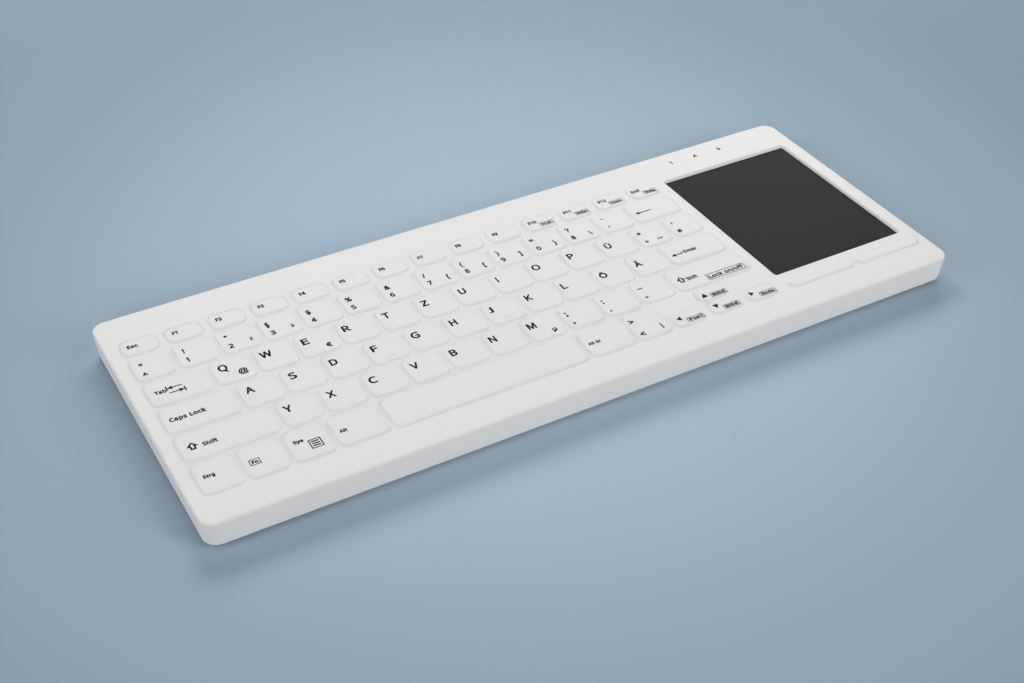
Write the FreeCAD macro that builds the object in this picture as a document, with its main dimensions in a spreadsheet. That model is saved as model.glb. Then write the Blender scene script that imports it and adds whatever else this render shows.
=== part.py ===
# Sealed medical keyboard with a touchpad and two pointer buttons.
# Millimetres. The origin is on the resting plane, under the middle of the case.
# +X runs to the right of the typist, +Y to the back edge and +Z up.
import FreeCAD, Part
import math
import os
import Sketcher

V = FreeCAD.Vector

# Driving dimensions: alias, value in mm, meaning
DIMENSIONS = [
    ("case_height", 12.4, "underside to deck"),
    ("foot_height", 1.6, "feet below the underside"),
    ("corner_radius", 9.0, "outer corners seen from above"),
    ("corner_cut", 3.8, "cut across the inner corners of the cover"),
    ("wall_draft", 1.0, "how far the walls lean in, from deck to underside"),
    ("top_round", 2.2, "rounding between deck and walls"),
    ("base_bevel", 0.6, "bevel under the walls"),
    ("cover_skin", 1.5, "silicone over the deck"),
    ("cover_wall", 1.5, "silicone on the walls"),
    ("lip_thick", 1.2, "silicone lip under the tray"),
    ("lip_reach", 3.4, "width of that lip"),
    ("fit_gap", 0.15, "clearance between fixed shells"),
    ("run_gap", 0.3, "clearance round moving pieces"),
    ("left_border", 6.3, "deck edge to the first key column"),
    ("right_border", 7.0, "touchpad opening to the deck edge"),
    ("front_border", 15.0, "deck edge to the front key row"),
    ("back_border", 19.0, "function keys to the deck edge"),
    ("key_pitch", 19.05, "letter keys, left to right"),
    ("row_pitch", 18.5, "letter rows, front to back"),
    ("front_row_pitch", 21.0, "front row to the row behind it"),
    ("key_gap", 1.35, "gap between two keys"),
    ("key_rise", 0.8, "key pads above the deck"),
    ("key_corner", 1.9, "cut across the corner of a key pad"),
    ("key_slope", 0.6, "width of the sloping edge of a key pad"),
    ("key_travel", 1.8, "stroke of a key"),
    ("button_travel", 0.7, "stroke of a pointer button"),
    ("field_extra", 1.8575, "what the last key of a row has over its pitches"),
    ("function_gap", 3.04, "gap between two function keys"),
    ("function_depth", 11.0, "function keys, front to back"),
    ("home_bar", 4.0, "length of the bars on F and J"),
    ("stem_side", 7.6, "square plunger under a key"),
    ("stem_reach", 0.3, "plunger inside its well at rest"),
    ("pad_space", 6.18, "key field to the touchpad opening"),
    ("pad_above_buttons", 2.5, "pointer buttons to the touchpad opening"),
    ("pad_back_border", 20.8, "touchpad opening to the back edge of the deck"),
    ("pad_width", 74.8, "touchpad opening, left to right"),
    ("pad_corner", 1.8, "corners of the touchpad opening"),
    ("pad_edge_bevel", 0.8, "bevelled rim of the touchpad opening"),
    ("pad_seat", 2.0, "touchpad tucked under the cover"),
    ("pad_thick", 0.8, "touchpad surface"),
    ("button_depth", 9.6, "pointer button"),
    ("button_overhang", 2.0, "right pointer button beyond the touchpad opening"),
    ("button_fall", 0.65, "how much lower a pointer button is at its back"),
    ("button_gap", 1.5, "between the two pointer buttons"),
    ("floor_thick", 1.6, "floor of the bottom case"),
    ("tray_wall", 2.0, "walls of the bottom case"),
    ("gasket_thick", 0.8, "case gasket"),
    ("plate_thick", 0.8, "support plate"),
    ("membrane_thick", 0.5, "membrane circuit"),
    ("mat_floor", 0.4, "dome sheet under a well"),
    ("well_rest", 0.4, "room left under a pressed plunger"),
    ("frame_thick", 1.6, "key frame"),
    ("frame_wall", 1.6, "wall round the key frame"),
    ("rib_height", 2.1, "ribs of the key frame under the cover"),
    ("screw_radius", 1.25, "case screws"),
    ("head_radius", 2.4, "heads of the case screws"),
    ("head_height", 1.3, "heads of the case screws"),
    ("boss_radius", 3.4, "screw bosses"),
    ("screw_inset_x", 20.0, "outer screws from the side of the deck"),
    ("screw_inset_y", 7.6, "screws from the front and back of the deck"),
    ("foot_length", 22.0, "rubber feet"),
    ("foot_width", 9.0, "rubber feet"),
    ("foot_corner", 2.6, "corners cut off the rubber feet"),
    ("foot_seat", 0.7, "rubber feet set into the case"),
    ("foot_inset_x", 34.0, "outer feet from the side of the deck"),
    ("foot_inset_y", 22.0, "feet from the front and back of the deck"),
    ("board_thick", 1.6, "controller board"),
    ("board_width", 58.0, "controller board"),
    ("board_depth", 70.0, "controller board"),
    ("standoff_height", 1.5, "posts under the controller board"),
    ("socket_room", 0.5, "ribbon socket to the key frame"),
    ("light_pitch", 14.75, "status lights"),
    ("light_radius", 1.4, "status lights"),
    ("light_back", 7.7, "status lights from the back edge of the deck"),
    ("light_start", 13.3, "first status light from the left edge of the touchpad opening"),
    ("gland_land", 0.2, "wall left above and below the cable gland"),
    ("gland_length", 7.5, "cable gland"),
    ("gland_right", 62.0, "cable gland from the right edge of the deck"),
]

doc = FreeCAD.newDocument("medical_keyboard")
sheet = doc.addObject("Spreadsheet::Sheet", "sizes")
for line, (alias, value, meaning) in enumerate(DIMENSIONS, start=1):
    sheet.set(f"A{line}", meaning)
    sheet.set(f"B{line}", str(value))
    sheet.setAlias(f"B{line}", alias)
doc.recompute()


def size(alias):
    return float(sheet.get(alias))


def value(expression):
    """What an expression on the sheet comes to."""
    result = sheet.evalExpression(expression)
    return float(getattr(result, "Value", result))


# Levels, as expressions on the sheet
UNDERSIDE = "sizes.foot_height"
DECK = f"({UNDERSIDE} + sizes.case_height)"
KEY_TOP = f"({DECK} + sizes.key_rise)"
SKIN_UNDER = f"({DECK} - sizes.cover_skin)"
FRAME_TOP = f"({SKIN_UNDER} - sizes.rib_height)"
FRAME_UNDER = f"({FRAME_TOP} - sizes.frame_thick)"
TRAY_TOP = f"({FRAME_UNDER} - sizes.gasket_thick)"
FLOOR_TOP = f"({UNDERSIDE} + sizes.floor_thick)"
PLATE_TOP = f"({FLOOR_TOP} + sizes.plate_thick)"
MEMBRANE_TOP = f"({PLATE_TOP} + sizes.membrane_thick)"
WELL_FLOOR = f"({MEMBRANE_TOP} + sizes.mat_floor)"
MAT_TOP = f"({WELL_FLOOR} + sizes.well_rest + sizes.key_travel + sizes.stem_reach)"
LIP_TOP = f"({UNDERSIDE} + sizes.lip_thick)"
BOARD_UNDER = f"({FLOOR_TOP} + sizes.standoff_height)"
BOARD_TOP = f"({BOARD_UNDER} + sizes.board_thick)"
RIBBON_SHELF = f"({FRAME_UNDER} - sizes.socket_room)"

# The deck is as large as the keys, the touchpad and their borders
FIELD_WIDTH = "(14.25 * sizes.key_pitch + sizes.field_extra)"
FUNCTION_PITCH = f"(({FIELD_WIDTH} + sizes.function_gap) / 14)"
FIELD_DEPTH = "(sizes.front_row_pitch + 4 * sizes.row_pitch + sizes.function_depth)"
CASE_WIDTH = (f"(sizes.left_border + {FIELD_WIDTH} + sizes.pad_space + sizes.pad_width"
              " + sizes.right_border)")
CASE_DEPTH = f"(sizes.front_border + {FIELD_DEPTH} + sizes.back_border)"

# Edges of the deck, the key field and the touchpad opening
DECK_LEFT = f"(-{CASE_WIDTH} / 2)"
DECK_FRONT = f"(-{CASE_DEPTH} / 2)"
FIELD_LEFT = f"({DECK_LEFT} + sizes.left_border)"
FIELD_FRONT = f"({DECK_FRONT} + sizes.front_border)"
FIELD_RIGHT = f"({FIELD_LEFT} + {FIELD_WIDTH})"
LETTERS_FRONT = f"({FIELD_FRONT} + sizes.front_row_pitch)"
PAD_LEFT = f"({FIELD_RIGHT} + sizes.pad_space)"
PAD_FRONT = f"({FIELD_FRONT} + sizes.button_depth + sizes.pad_above_buttons)"
PAD_DEPTH = f"(-{DECK_FRONT} - sizes.pad_back_border - {PAD_FRONT})"
PAD_X = f"({PAD_LEFT} + sizes.pad_width / 2)"
PAD_Y = f"({PAD_FRONT} + {PAD_DEPTH} / 2)"


def add(kind, name):
    return doc.addObject(kind, name)


def box(name, left, right, front, back, under, top):
    """A block between six planes, each an expression on the sheet."""
    block = add("Part::Box", name)
    block.setExpression("Length", f"{right} - {left}")
    block.setExpression("Width", f"{back} - {front}")
    block.setExpression("Height", f"{top} - {under}")
    block.setExpression("Placement.Base.x", left)
    block.setExpression("Placement.Base.y", front)
    block.setExpression("Placement.Base.z", under)
    return block


def column(name, x, y, under, top, radius, sides=8):
    """An upright bar with flat sides; what repeats is kept to few faces."""
    bar = add("Part::Prism", name)
    bar.Polygon = sides
    bar.setExpression("Circumradius", radius)
    bar.setExpression("Height", f"{top} - {under}")
    bar.setExpression("Placement.Base.x", x)
    bar.setExpression("Placement.Base.y", y)
    bar.setExpression("Placement.Base.z", under)
    return bar


def slab(name, x, y, length, width, corner, under, top):
    """A block about (x, y) with its four upright edges cut off."""
    half_x, half_y = f"({length}) / 2", f"({width}) / 2"
    block = box(f"{name}_block", f"({x} - {half_x})", f"({x} + {half_x})", f"({y} - {half_y})",
                f"({y} + {half_y})", under, top)
    doc.recompute()
    return chamfer(name, block, upright, corner, corner)


def fuse(name, pieces):
    joined = add("Part::MultiFuse", name)
    joined.Shapes = pieces
    return joined


def cut(name, base, tool):
    rest = add("Part::Cut", name)
    rest.Base = base
    rest.Tool = tool
    return rest


def group(name, pieces):
    together = add("Part::Compound", name)
    together.Links = pieces
    return together


def upright(edge):
    first, last = edge.Vertexes[0].Point, edge.Vertexes[-1].Point
    return abs(first.z - last.z) > 0.01 and V(first.x, first.y, 0).isEqual(V(last.x, last.y, 0), 0.01)


def at_top(shape, edge):
    return edge.BoundBox.ZMin > shape.BoundBox.ZMax - 0.001


def chamfer(name, base, wanted, across, down):
    """Cut the wanted edges of a base that is already computed."""
    bevel = add("Part::Chamfer", name)
    bevel.Base = base
    bevel.Edges = [(number, across, down) for number, edge in enumerate(base.Shape.Edges, start=1)
                   if wanted(edge)]
    return bevel


# Keys: name, left, right, front and back edge
def letter_row(row, start, names):
    """Keys of one pitch each, from a start given in pitches; row 1 is nearest the typist."""
    front = f"({LETTERS_FRONT} + {row - 1} * sizes.row_pitch)"
    back = f"({front} + sizes.row_pitch - sizes.key_gap)"
    return [(name, *across(start + place, start + place + 1), front, back)
            for place, name in enumerate(names)]


def across(start, end):
    left = f"({FIELD_LEFT} + {start} * sizes.key_pitch)"
    return left, f"({FIELD_LEFT} + {end} * sizes.key_pitch - sizes.key_gap)"


def wide_key(row, name, start, end=None):
    """A wide key in a letter row; with no end it runs to the right edge of the field."""
    (_, left, right, front, back), = letter_row(row, start, [name])
    if end is not None:
        right = across(start, end)[1]
    else:
        right = FIELD_RIGHT
    return name, left, right, front, back


def function_column(place):
    left = f"({FIELD_LEFT} + {place} * {FUNCTION_PITCH})"
    return left, f"({left} + {FUNCTION_PITCH} - sizes.function_gap)"


def key_layout():
    keys = []
    front = f"({LETTERS_FRONT} + 4 * sizes.row_pitch)"
    names = ["esc"] + [f"f{number}" for number in range(1, 13)] + ["delete"]
    for place, name in enumerate(names):
        keys.append((name, *function_column(place), front, f"({front} + sizes.function_depth)"))
    digits = ["caret", "1", "2", "3", "4", "5", "6", "7", "8", "9", "0", "sharp_s", "accent"]
    keys += letter_row(4, 0, digits)
    keys.append(wide_key(4, "backspace", 13))
    keys.append(wide_key(3, "tab", 0, 1.5))
    keys += letter_row(3, 1.5, list("qwertzuiop") + ["u_umlaut", "plus"])
    keys.append(wide_key(3, "hash", 13.5))
    keys.append(wide_key(2, "caps_lock", 0, 1.75))
    keys += letter_row(2, 1.75, list("asdfghjkl") + ["o_umlaut", "a_umlaut"])
    keys.append(wide_key(2, "enter", 12.75))
    keys.append(wide_key(1, "shift_left", 0, 2.25))
    keys += letter_row(1, 2.25, list("yxcvbnm") + ["comma", "period", "minus"])
    keys.append(wide_key(1, "shift_right", 12.25))
    return keys + front_row()


def front_row():
    back = f"({LETTERS_FRONT} - sizes.key_gap)"
    middle = f"(({FIELD_FRONT} + {back}) / 2)"
    lower = (FIELD_FRONT, f"({middle} - sizes.key_gap / 2)")
    upper = (f"({middle} + sizes.key_gap / 2)", back)
    angle_right = f"({function_column(11)[0]} - sizes.key_gap)"
    angle_left = f"({angle_right} - sizes.key_pitch + sizes.key_gap)"
    alt_gr_left = f"({angle_left} - 1.25 * sizes.key_pitch)"
    keys = [(name, *across(start, end), FIELD_FRONT, back) for name, start, end in
            (("ctrl", 0, 1), ("fn", 1, 2), ("system", 2, 3), ("alt", 3, 4.25))]
    keys.append(("space", across(4.25, 5)[0], f"({alt_gr_left} - sizes.key_gap)", FIELD_FRONT, back))
    keys.append(("alt_gr", alt_gr_left, f"({angle_left} - sizes.key_gap)", FIELD_FRONT, back))
    keys.append(("angle", angle_left, angle_right, FIELD_FRONT, back))
    keys.append(("arrow_left", *function_column(11), *lower))
    keys.append(("arrow_down", *function_column(12), *lower))
    keys.append(("arrow_up", *function_column(12), *upper))
    keys.append(("arrow_right", *function_column(13), *lower))
    return keys


# Nodes that hold more than one key, because a part may have at most 60 nodes
KEY_GROUPS = {
    "keys_f1_to_f6": [f"f{number}" for number in range(1, 7)],
    "keys_f7_to_f12": [f"f{number}" for number in range(7, 13)],
    "keys_digits_left": ["caret", "1", "2", "3", "4", "5"],
    "keys_digits_right": ["6", "7", "8", "9", "0", "sharp_s", "accent"],
    "keys_modifiers": ["ctrl", "fn", "system", "alt", "alt_gr"],
    "keys_symbols": ["u_umlaut", "plus", "hash", "o_umlaut", "a_umlaut", "comma", "period", "minus",
                     "angle"],
    "keys_arrows": ["arrow_left", "arrow_down", "arrow_up", "arrow_right"],
}


def button_layout():
    """The two pointer buttons, in line with the front key row."""
    left = f"({PAD_LEFT} + 0.1)"
    right = f"({PAD_LEFT} + sizes.pad_width + sizes.button_overhang)"
    back = f"({FIELD_FRONT} + sizes.button_depth)"
    width = f"(({right} - {left} - sizes.button_gap) / 2)"
    return [("button_left", left, f"({left} + {width})", FIELD_FRONT, back),
            ("button_right", f"({right} - {width})", right, FIELD_FRONT, back)]


def middle_of(low, high):
    return f"(({low} + {high}) / 2)"


def stem_places(name, left, right):
    """Where the plungers stand under a pad: three under the space bar, one elsewhere."""
    centre = middle_of(left, right)
    if name == "space":
        return [centre, f"({left} + sizes.key_pitch)", f"({right} - sizes.key_pitch)"]
    return [centre]


def square(name, x, y, side, under, top):
    half = f"({side}) / 2"
    return box(name, f"({x} - {half})", f"({x} + {half})", f"({y} - {half})", f"({y} + {half})", under, top)


def pad_blocks(layout):
    """The pads and the larger prisms that clear them in the cover, before their corners are cut."""
    pads, clearings = {}, {}
    gap = "sizes.run_gap"
    for name, left, right, front, back in layout:
        pads[name] = box(f"pad_{name}", left, right, front, back, SKIN_UNDER, KEY_TOP)
        clearings[name] = box(f"clearing_{name}", f"({left} - {gap})", f"({right} + {gap})",
                              f"({front} - {gap})", f"({back} + {gap})",
                              f"({SKIN_UNDER} - 1)", f"({DECK} + 1)")
    doc.recompute()
    return pads, clearings


def cut_corners(blocks, tag):
    corner = size("key_corner")
    for name in blocks:
        blocks[name] = chamfer(f"{tag}_{name}", blocks[name], upright, corner, corner)
    doc.recompute()


def slope_edges(pads):
    """The sloping shoulder round the top of each pad."""
    rise, slope = 0.8 * size("key_rise"), size("key_slope")
    for name, pad in pads.items():
        shape = pad.Shape
        pads[name] = chamfer(f"shoulder_{name}", pad, lambda edge: at_top(shape, edge), rise, slope)
    doc.recompute()
    for name, pad in pads.items():
        top = max(pad.Shape.Faces, key=lambda face: face.BoundBox.ZMin)
        if top.BoundBox.XLength > pad.Shape.BoundBox.XLength - 1.9 * slope:
            raise RuntimeError(f"the shoulder of {name} is turned")


def key_stems(name, left, right, front, back):
    y = middle_of(front, back)
    bottom = f"({MAT_TOP} - sizes.stem_reach)"
    return [square(f"stem{number}_{name}", x, y, "sizes.stem_side", bottom, f"({SKIN_UNDER} + 0.5)")
            for number, x in enumerate(stem_places(name, left, right))]


def stem_passages(layout):
    """Square passages for the plungers, through the key frame and down to the floor of each well."""
    passages = []
    for name, left, right, front, back in layout:
        for number, x in enumerate(stem_places(name, left, right)):
            passages.append(square(f"passage{number}_{name}", x, middle_of(front, back),
                                   "sizes.stem_side + 2 * sizes.run_gap", WELL_FLOOR, f"({FRAME_TOP} + 1)"))
    return group("passages", passages)


def home_bar(name, left, right, front):
    x = middle_of(left, right)
    half = "sizes.home_bar / 2"
    return box(f"bar_{name}", f"({x} - {half})", f"({x} + {half})", f"({front} + 3.0)", f"({front} + 3.8)",
               f"({KEY_TOP} - 0.3)", f"({KEY_TOP} + 0.25)")


def make_keys(layout, pads):
    """Every key is a pad with its plunger; F and J also have a bar that the fingers find."""
    keys = {}
    for name, left, right, front, back in layout:
        pieces = [pads[name]] + key_stems(name, left, right, front, back)
        if name in ("f", "j"):
            pieces.append(home_bar(name, left, right, front))
        keys[name] = fuse(f"key_{name}", pieces)
    nodes = []
    grouped = [name for names in KEY_GROUPS.values() for name in names]
    for name, key in keys.items():
        if name not in grouped:
            key.Label = f"key_{name}"
            nodes.append(key)
    for label, names in KEY_GROUPS.items():
        nodes.append(group(label, [keys[name] for name in names]))
    return nodes


NUB_UNDER = f"({SKIN_UNDER} - 0.3)"


def make_buttons(layout, pads):
    """Each pointer button falls from its front edge to the deck at its back."""
    nodes = []
    for name, left, right, front, back in layout:
        above = box(f"above_{name}", f"({left} - 1)", f"({right} + 1)", f"({front} + 1)", f"({back} + 9)",
                    KEY_TOP, f"({KEY_TOP} + 9)")
        above.Placement.Rotation = FreeCAD.Rotation(V(1, 0, 0), 0)
        above.setExpression("Placement.Rotation.Angle",
                            "-atan(sizes.button_fall / (sizes.button_depth - 1))")
        nub = square(f"nub_{name}", middle_of(left, right), middle_of(front, back), "5", NUB_UNDER,
                     f"({SKIN_UNDER} + 0.5)")
        nodes.append(fuse(f"pointer_{name}", [cut(f"wedge_{name}", pads[name], above), nub]))
    return nodes


# Sketches with rounded corners
def tangent_ring(sketch):
    """Close four lines and four arcs into one smooth outline."""
    for piece in range(8):
        sketch.addConstraint(Sketcher.Constraint("Tangent", piece, 2, (piece + 1) % 8, 1))
    for line in (0, 4):
        sketch.addConstraint(Sketcher.Constraint("Horizontal", line))
    for line in (2, 6):
        sketch.addConstraint(Sketcher.Constraint("Vertical", line))
    for arc in (3, 5, 7):
        sketch.addConstraint(Sketcher.Constraint("Equal", 1, arc))


def outline(body, name, width, depth, radius, level, x="0", y="0"):
    """A rounded rectangle about (x, y) on a level plane of the body."""
    sketch = body.newObject("Sketcher::SketchObject", name)
    plane = next(item for item in body.Origin.OriginFeatures if item.Role == "XY_Plane")
    sketch.AttachmentSupport = (plane, [""])
    sketch.MapMode = "FlatFace"
    for axis, place in (("x", x), ("y", y), ("z", level)):
        sketch.setExpression(f"AttachmentOffset.Base.{axis}", place)
    a, b, r = 50.0, 30.0, 5.0
    corners = [(a - r, r - b, -90), (a - r, b - r, 0), (r - a, b - r, 90), (r - a, r - b, 180)]
    lines = [((r - a, -b), (a - r, -b)), ((a, r - b), (a, b - r)),
             ((a - r, b), (r - a, b)), ((-a, b - r), (-a, r - b))]
    for (start, end), (cx, cy, turn) in zip(lines, corners):
        sketch.addGeometry(Part.LineSegment(V(*start, 0), V(*end, 0)), False)
        circle = Part.Circle(V(cx, cy, 0), V(0, 0, 1), r)
        sketch.addGeometry(Part.ArcOfCircle(circle, math.radians(turn), math.radians(turn + 90)), False)
    tangent_ring(sketch)
    sketch.addConstraint(Sketcher.Constraint("Symmetric", 0, 1, 4, 1, -1, 1))
    values = (("Radius", (1,), r, radius), ("DistanceX", (6, 1, 2, 1), 2 * a, width),
              ("DistanceY", (0, 1, 4, 1), 2 * b, depth))
    for kind, places, start, expression in values:
        number = sketch.addConstraint(Sketcher.Constraint(kind, *places, start))
        sketch.setExpression(f"Constraints[{number}]", expression)
    return sketch


def pad_up(body, name, sketch, length, taper=None):
    feature = body.newObject("PartDesign::Pad", name)
    feature.Profile = sketch
    feature.setExpression("Length", length)
    if taper:
        feature.setExpression("TaperAngle", taper)
    return feature


def pocket(body, name, sketch, length):
    """A pocket that has to take some material away."""
    doc.recompute()
    before = body.Shape.Volume
    feature = body.newObject("PartDesign::Pocket", name)
    feature.Profile = sketch
    feature.setExpression("Length", length)
    doc.recompute()
    if body.Shape.Volume > before - 1:
        raise RuntimeError(f"{name} cuts nothing")
    return feature


def round_edges(body, name, wanted, radius):
    """Round the wanted edges of the body as it stands."""
    doc.recompute()
    tip = body.Tip
    names = [f"Edge{number}" for number, edge in enumerate(tip.Shape.Edges, start=1) if wanted(edge)]
    feature = body.newObject("PartDesign::Fillet", name)
    feature.Base = (tip, names)
    feature.setExpression("Radius", radius)
    doc.recompute()
    return feature


def bevel_edges(body, name, wanted, width):
    """Bevel the wanted edges of the body as it stands."""
    doc.recompute()
    tip = body.Tip
    names = [f"Edge{number}" for number, edge in enumerate(tip.Shape.Edges, start=1) if wanted(edge)]
    feature = body.newObject("PartDesign::Chamfer", name)
    feature.Base = (tip, names)
    feature.setExpression("Size", width)
    doc.recompute()
    return feature


# Outlines set in from the deck's own outline
def inset_size(inset):
    """Width, depth and corner radius of the deck's outline, set in all round."""
    return (f"{CASE_WIDTH} - 2 * ({inset})", f"{CASE_DEPTH} - 2 * ({inset})",
            f"sizes.corner_radius - ({inset})")


def shell(name, inset, under, top):
    """A block inside the cover whose corner cuts keep their distance from those round it."""
    corner = size("corner_cut") - (2 - math.sqrt(2)) * (value(inset) - value(WALL_INSIDE))
    return slab(name, "0", "0", *inset_size(inset)[:2], corner, under, top)


WALL_INSIDE = "(sizes.wall_draft + sizes.cover_wall)"
TRAY_OUTSIDE = f"({WALL_INSIDE} + sizes.fit_gap)"
TRAY_INSIDE = f"({TRAY_OUTSIDE} + sizes.tray_wall)"
LIP_INSIDE = "(sizes.wall_draft + sizes.lip_reach)"


def make_cover(clearings):
    """The one-piece silicone cover: deck, drafted walls and a lip that turns in under the tray."""
    body = add("PartDesign::Body", "cover_body")
    base = outline(body, "cover_base", *inset_size("sizes.wall_draft"), UNDERSIDE)
    pad_up(body, "cover_block", base, "sizes.case_height", "atan(sizes.wall_draft / sizes.case_height)")
    top, bottom = size("foot_height") + size("case_height"), size("foot_height")
    round_edges(body, "deck_round", lambda edge: edge.BoundBox.ZMin > top - 0.01, "sizes.top_round")
    bevel_edges(body, "base_edge_bevel", lambda edge: edge.BoundBox.ZMax < bottom + 0.01,
                "sizes.base_bevel")
    window = outline(body, "window_outline", "sizes.pad_width", PAD_DEPTH, "sizes.pad_corner",
                     DECK, PAD_X, PAD_Y)
    pocket(body, "window", window, "sizes.cover_skin")
    half = (value(CASE_WIDTH) / 2 - 2 * size("top_round"), value(CASE_DEPTH) / 2 - 2 * size("top_round"))

    def rim(edge):
        spot = edge.BoundBox
        return spot.ZMin > top - 0.01 and max(abs(spot.XMin), abs(spot.XMax)) < half[0] \
            and max(abs(spot.YMin), abs(spot.YMax)) < half[1]

    bevel_edges(body, "window_rim_bevel", rim, "sizes.pad_edge_bevel")
    tools = group("cover_tools", list(clearings.values()) + [gland_bore("cover_gland_bore"),
                  shell("lip_opening", LIP_INSIDE, f"({UNDERSIDE} - 1)", f"({LIP_TOP} + 0.5)"),
                  shell("hollow", WALL_INSIDE, LIP_TOP, SKIN_UNDER)])
    return cut("silicone_cover", body, tools)


def gland_bore(name, gap="sizes.fit_gap"):
    """A bar along Y through the back wall, where the cable gland sits."""
    bar = add("Part::Prism", name)
    bar.Polygon = 12
    bar.setExpression("Circumradius", f"{GLAND_RADIUS} + {gap}")
    bar.setExpression("Height", "sizes.gland_length")
    bar.Placement.Rotation = FreeCAD.Rotation(V(1, 0, 0), 90)
    bar.setExpression("Placement.Base.x", f"{CASE_WIDTH} / 2 - sizes.gland_right")
    bar.setExpression("Placement.Base.y", f"{CASE_DEPTH} / 2 - sizes.wall_draft / 2")
    bar.setExpression("Placement.Base.z", GLAND_LEVEL)
    return bar


GLAND_LEVEL = f"(({LIP_TOP} + {TRAY_TOP}) / 2)"
GLAND_RADIUS = f"(({TRAY_TOP} - {LIP_TOP}) / 2 - sizes.gland_land)"


def screw_places():
    """Three screws along the front and three along the back."""
    reach = f"({CASE_WIDTH} / 2 - sizes.screw_inset_x)"
    depth = f"({CASE_DEPTH} / 2 - sizes.screw_inset_y)"
    return [(f"({share} * {reach})", f"({side} * {depth})") for side in (-1, 1) for share in (-1, 0, 1)]


def foot_places():
    reach = f"({CASE_WIDTH} / 2 - sizes.foot_inset_x)"
    depth = f"({CASE_DEPTH} / 2 - sizes.foot_inset_y)"
    return [(f"({share} * {reach})", f"({side} * {depth})") for side in (-1, 1) for share in (-1, 0, 1)]


def board_corners():
    for side_x in (-1, 1):
        for side_y in (-1, 1):
            yield (f"({PAD_X} + {side_x} * (sizes.board_width / 2 - 4))",
                   f"({PAD_Y} + {side_y} * (sizes.board_depth / 2 - 4))")


def make_bottom_case():
    """A tray whose edge is stepped for the cover's lip, with screw bosses, posts and foot recesses."""
    blocks = fuse("tray_blocks", [shell("keel", f"({LIP_INSIDE} + sizes.fit_gap)", UNDERSIDE, LIP_TOP),
                                  shell("tray_block", TRAY_OUTSIDE, LIP_TOP, TRAY_TOP)])
    tray = cut("tray", blocks, shell("tray_hollow", TRAY_INSIDE, FLOOR_TOP, f"({TRAY_TOP} + 1)"))
    posts = [column(f"boss{number}", x, y, f"({FLOOR_TOP} - 0.5)", FRAME_UNDER, "sizes.boss_radius")
             for number, (x, y) in enumerate(screw_places())]
    posts += [column(f"post{number}", x, y, f"({FLOOR_TOP} - 0.5)", BOARD_UNDER, "2")
              for number, (x, y) in enumerate(board_corners())]
    holes = []
    for number, (x, y) in enumerate(screw_places()):
        holes.append(column(f"case_hole{number}", x, y, f"({UNDERSIDE} - 1)", f"({FRAME_UNDER} + 1)",
                            "sizes.screw_radius + sizes.fit_gap"))
        holes.append(column(f"head_seat{number}", x, y, f"({UNDERSIDE} - 1)",
                            f"({UNDERSIDE} + sizes.head_height)", "sizes.head_radius + sizes.fit_gap"))
    holes.append(gland_bore("case_gland_bore"))
    holes += [slab(f"foot_seat{number}", x, y, "sizes.foot_length + 2 * sizes.fit_gap",
                   "sizes.foot_width + 2 * sizes.fit_gap", size("foot_corner"), f"({UNDERSIDE} - 1)",
                   f"({UNDERSIDE} + sizes.foot_seat)") for number, (x, y) in enumerate(foot_places())]
    return cut("bottom_case", fuse("tray_with_bosses", [tray] + posts), group("case_tools", holes))


def row_ribs():
    """Ribs that carry the cover between two key rows and round the whole field."""
    ribs = []
    half = "(sizes.key_gap / 2 - sizes.run_gap)"
    for row in range(5):
        y = f"({LETTERS_FRONT} + {row} * sizes.row_pitch - sizes.key_gap / 2)"
        ribs.append(box(f"rib{row}", FIELD_LEFT, FIELD_RIGHT, f"({y} - {half})", f"({y} + {half})",
                        f"({FRAME_TOP} - 0.5)", SKIN_UNDER))
    return ribs


def field_rim():
    """A low wall round the key field and the pointer buttons."""
    gap, wall = "sizes.run_gap", "1.2"
    left, right = f"({FIELD_LEFT} - {gap})", f"({FIELD_RIGHT} + {gap})"
    front = f"({FIELD_FRONT} - {gap})"
    back = f"({LETTERS_FRONT} + 4 * sizes.row_pitch + sizes.function_depth + {gap})"
    low, high = f"({FRAME_TOP} - 0.5)", SKIN_UNDER
    return [box("rim_left", f"({left} - {wall})", left, front, back, low, high),
            box("rim_right", right, f"({right} + {wall})", front, back, low, high),
            box("rim_back", f"({left} - {wall})", f"({right} + {wall})", back, f"({back} + {wall})", low, high),
            box("rim_front", f"({left} - {wall})", f"({PAD_LEFT} + sizes.pad_width + {wall})",
                f"({front} - {wall})", front, low, high)]


def make_key_frame(passages):
    """The stiff plate under the cover: it guides the plungers and carries the cover and touchpad."""
    plate = cut("frame_plate", shell("frame_block", TRAY_OUTSIDE, FRAME_UNDER, SKIN_UNDER),
                shell("frame_hollow", f"({TRAY_OUTSIDE} + sizes.frame_wall)", FRAME_TOP,
                      f"({SKIN_UNDER} + 1)"))
    stiff = fuse("frame_with_ribs", [plate] + row_ribs() + field_rim() + screw_towers())
    holes = [column(f"frame_hole{number}", x, y, f"({FRAME_UNDER} - 1)", f"({SKIN_UNDER} - 0.6)",
                    "sizes.screw_radius") for number, (x, y) in enumerate(screw_places())]
    tools = group("frame_tools", [passages, ribbon_slot()] + holes)
    return cut("key_frame", stiff, tools)


def screw_towers():
    return [column(f"tower{number}", x, y, f"({FRAME_TOP} - 0.5)", SKIN_UNDER, "sizes.boss_radius")
            for number, (x, y) in enumerate(screw_places())]


RIBBON_Y = f"({PAD_Y} + sizes.board_depth / 2 - 12)"


def ribbon_slot():
    return box("ribbon_slot", f"({PAD_X} - 8)", f"({PAD_X} + 8)", f"({RIBBON_Y} - 1.5)",
               f"({RIBBON_Y} + 1.5)", f"({FRAME_UNDER} - 1)", f"({FRAME_TOP} + 0.2)")


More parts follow.
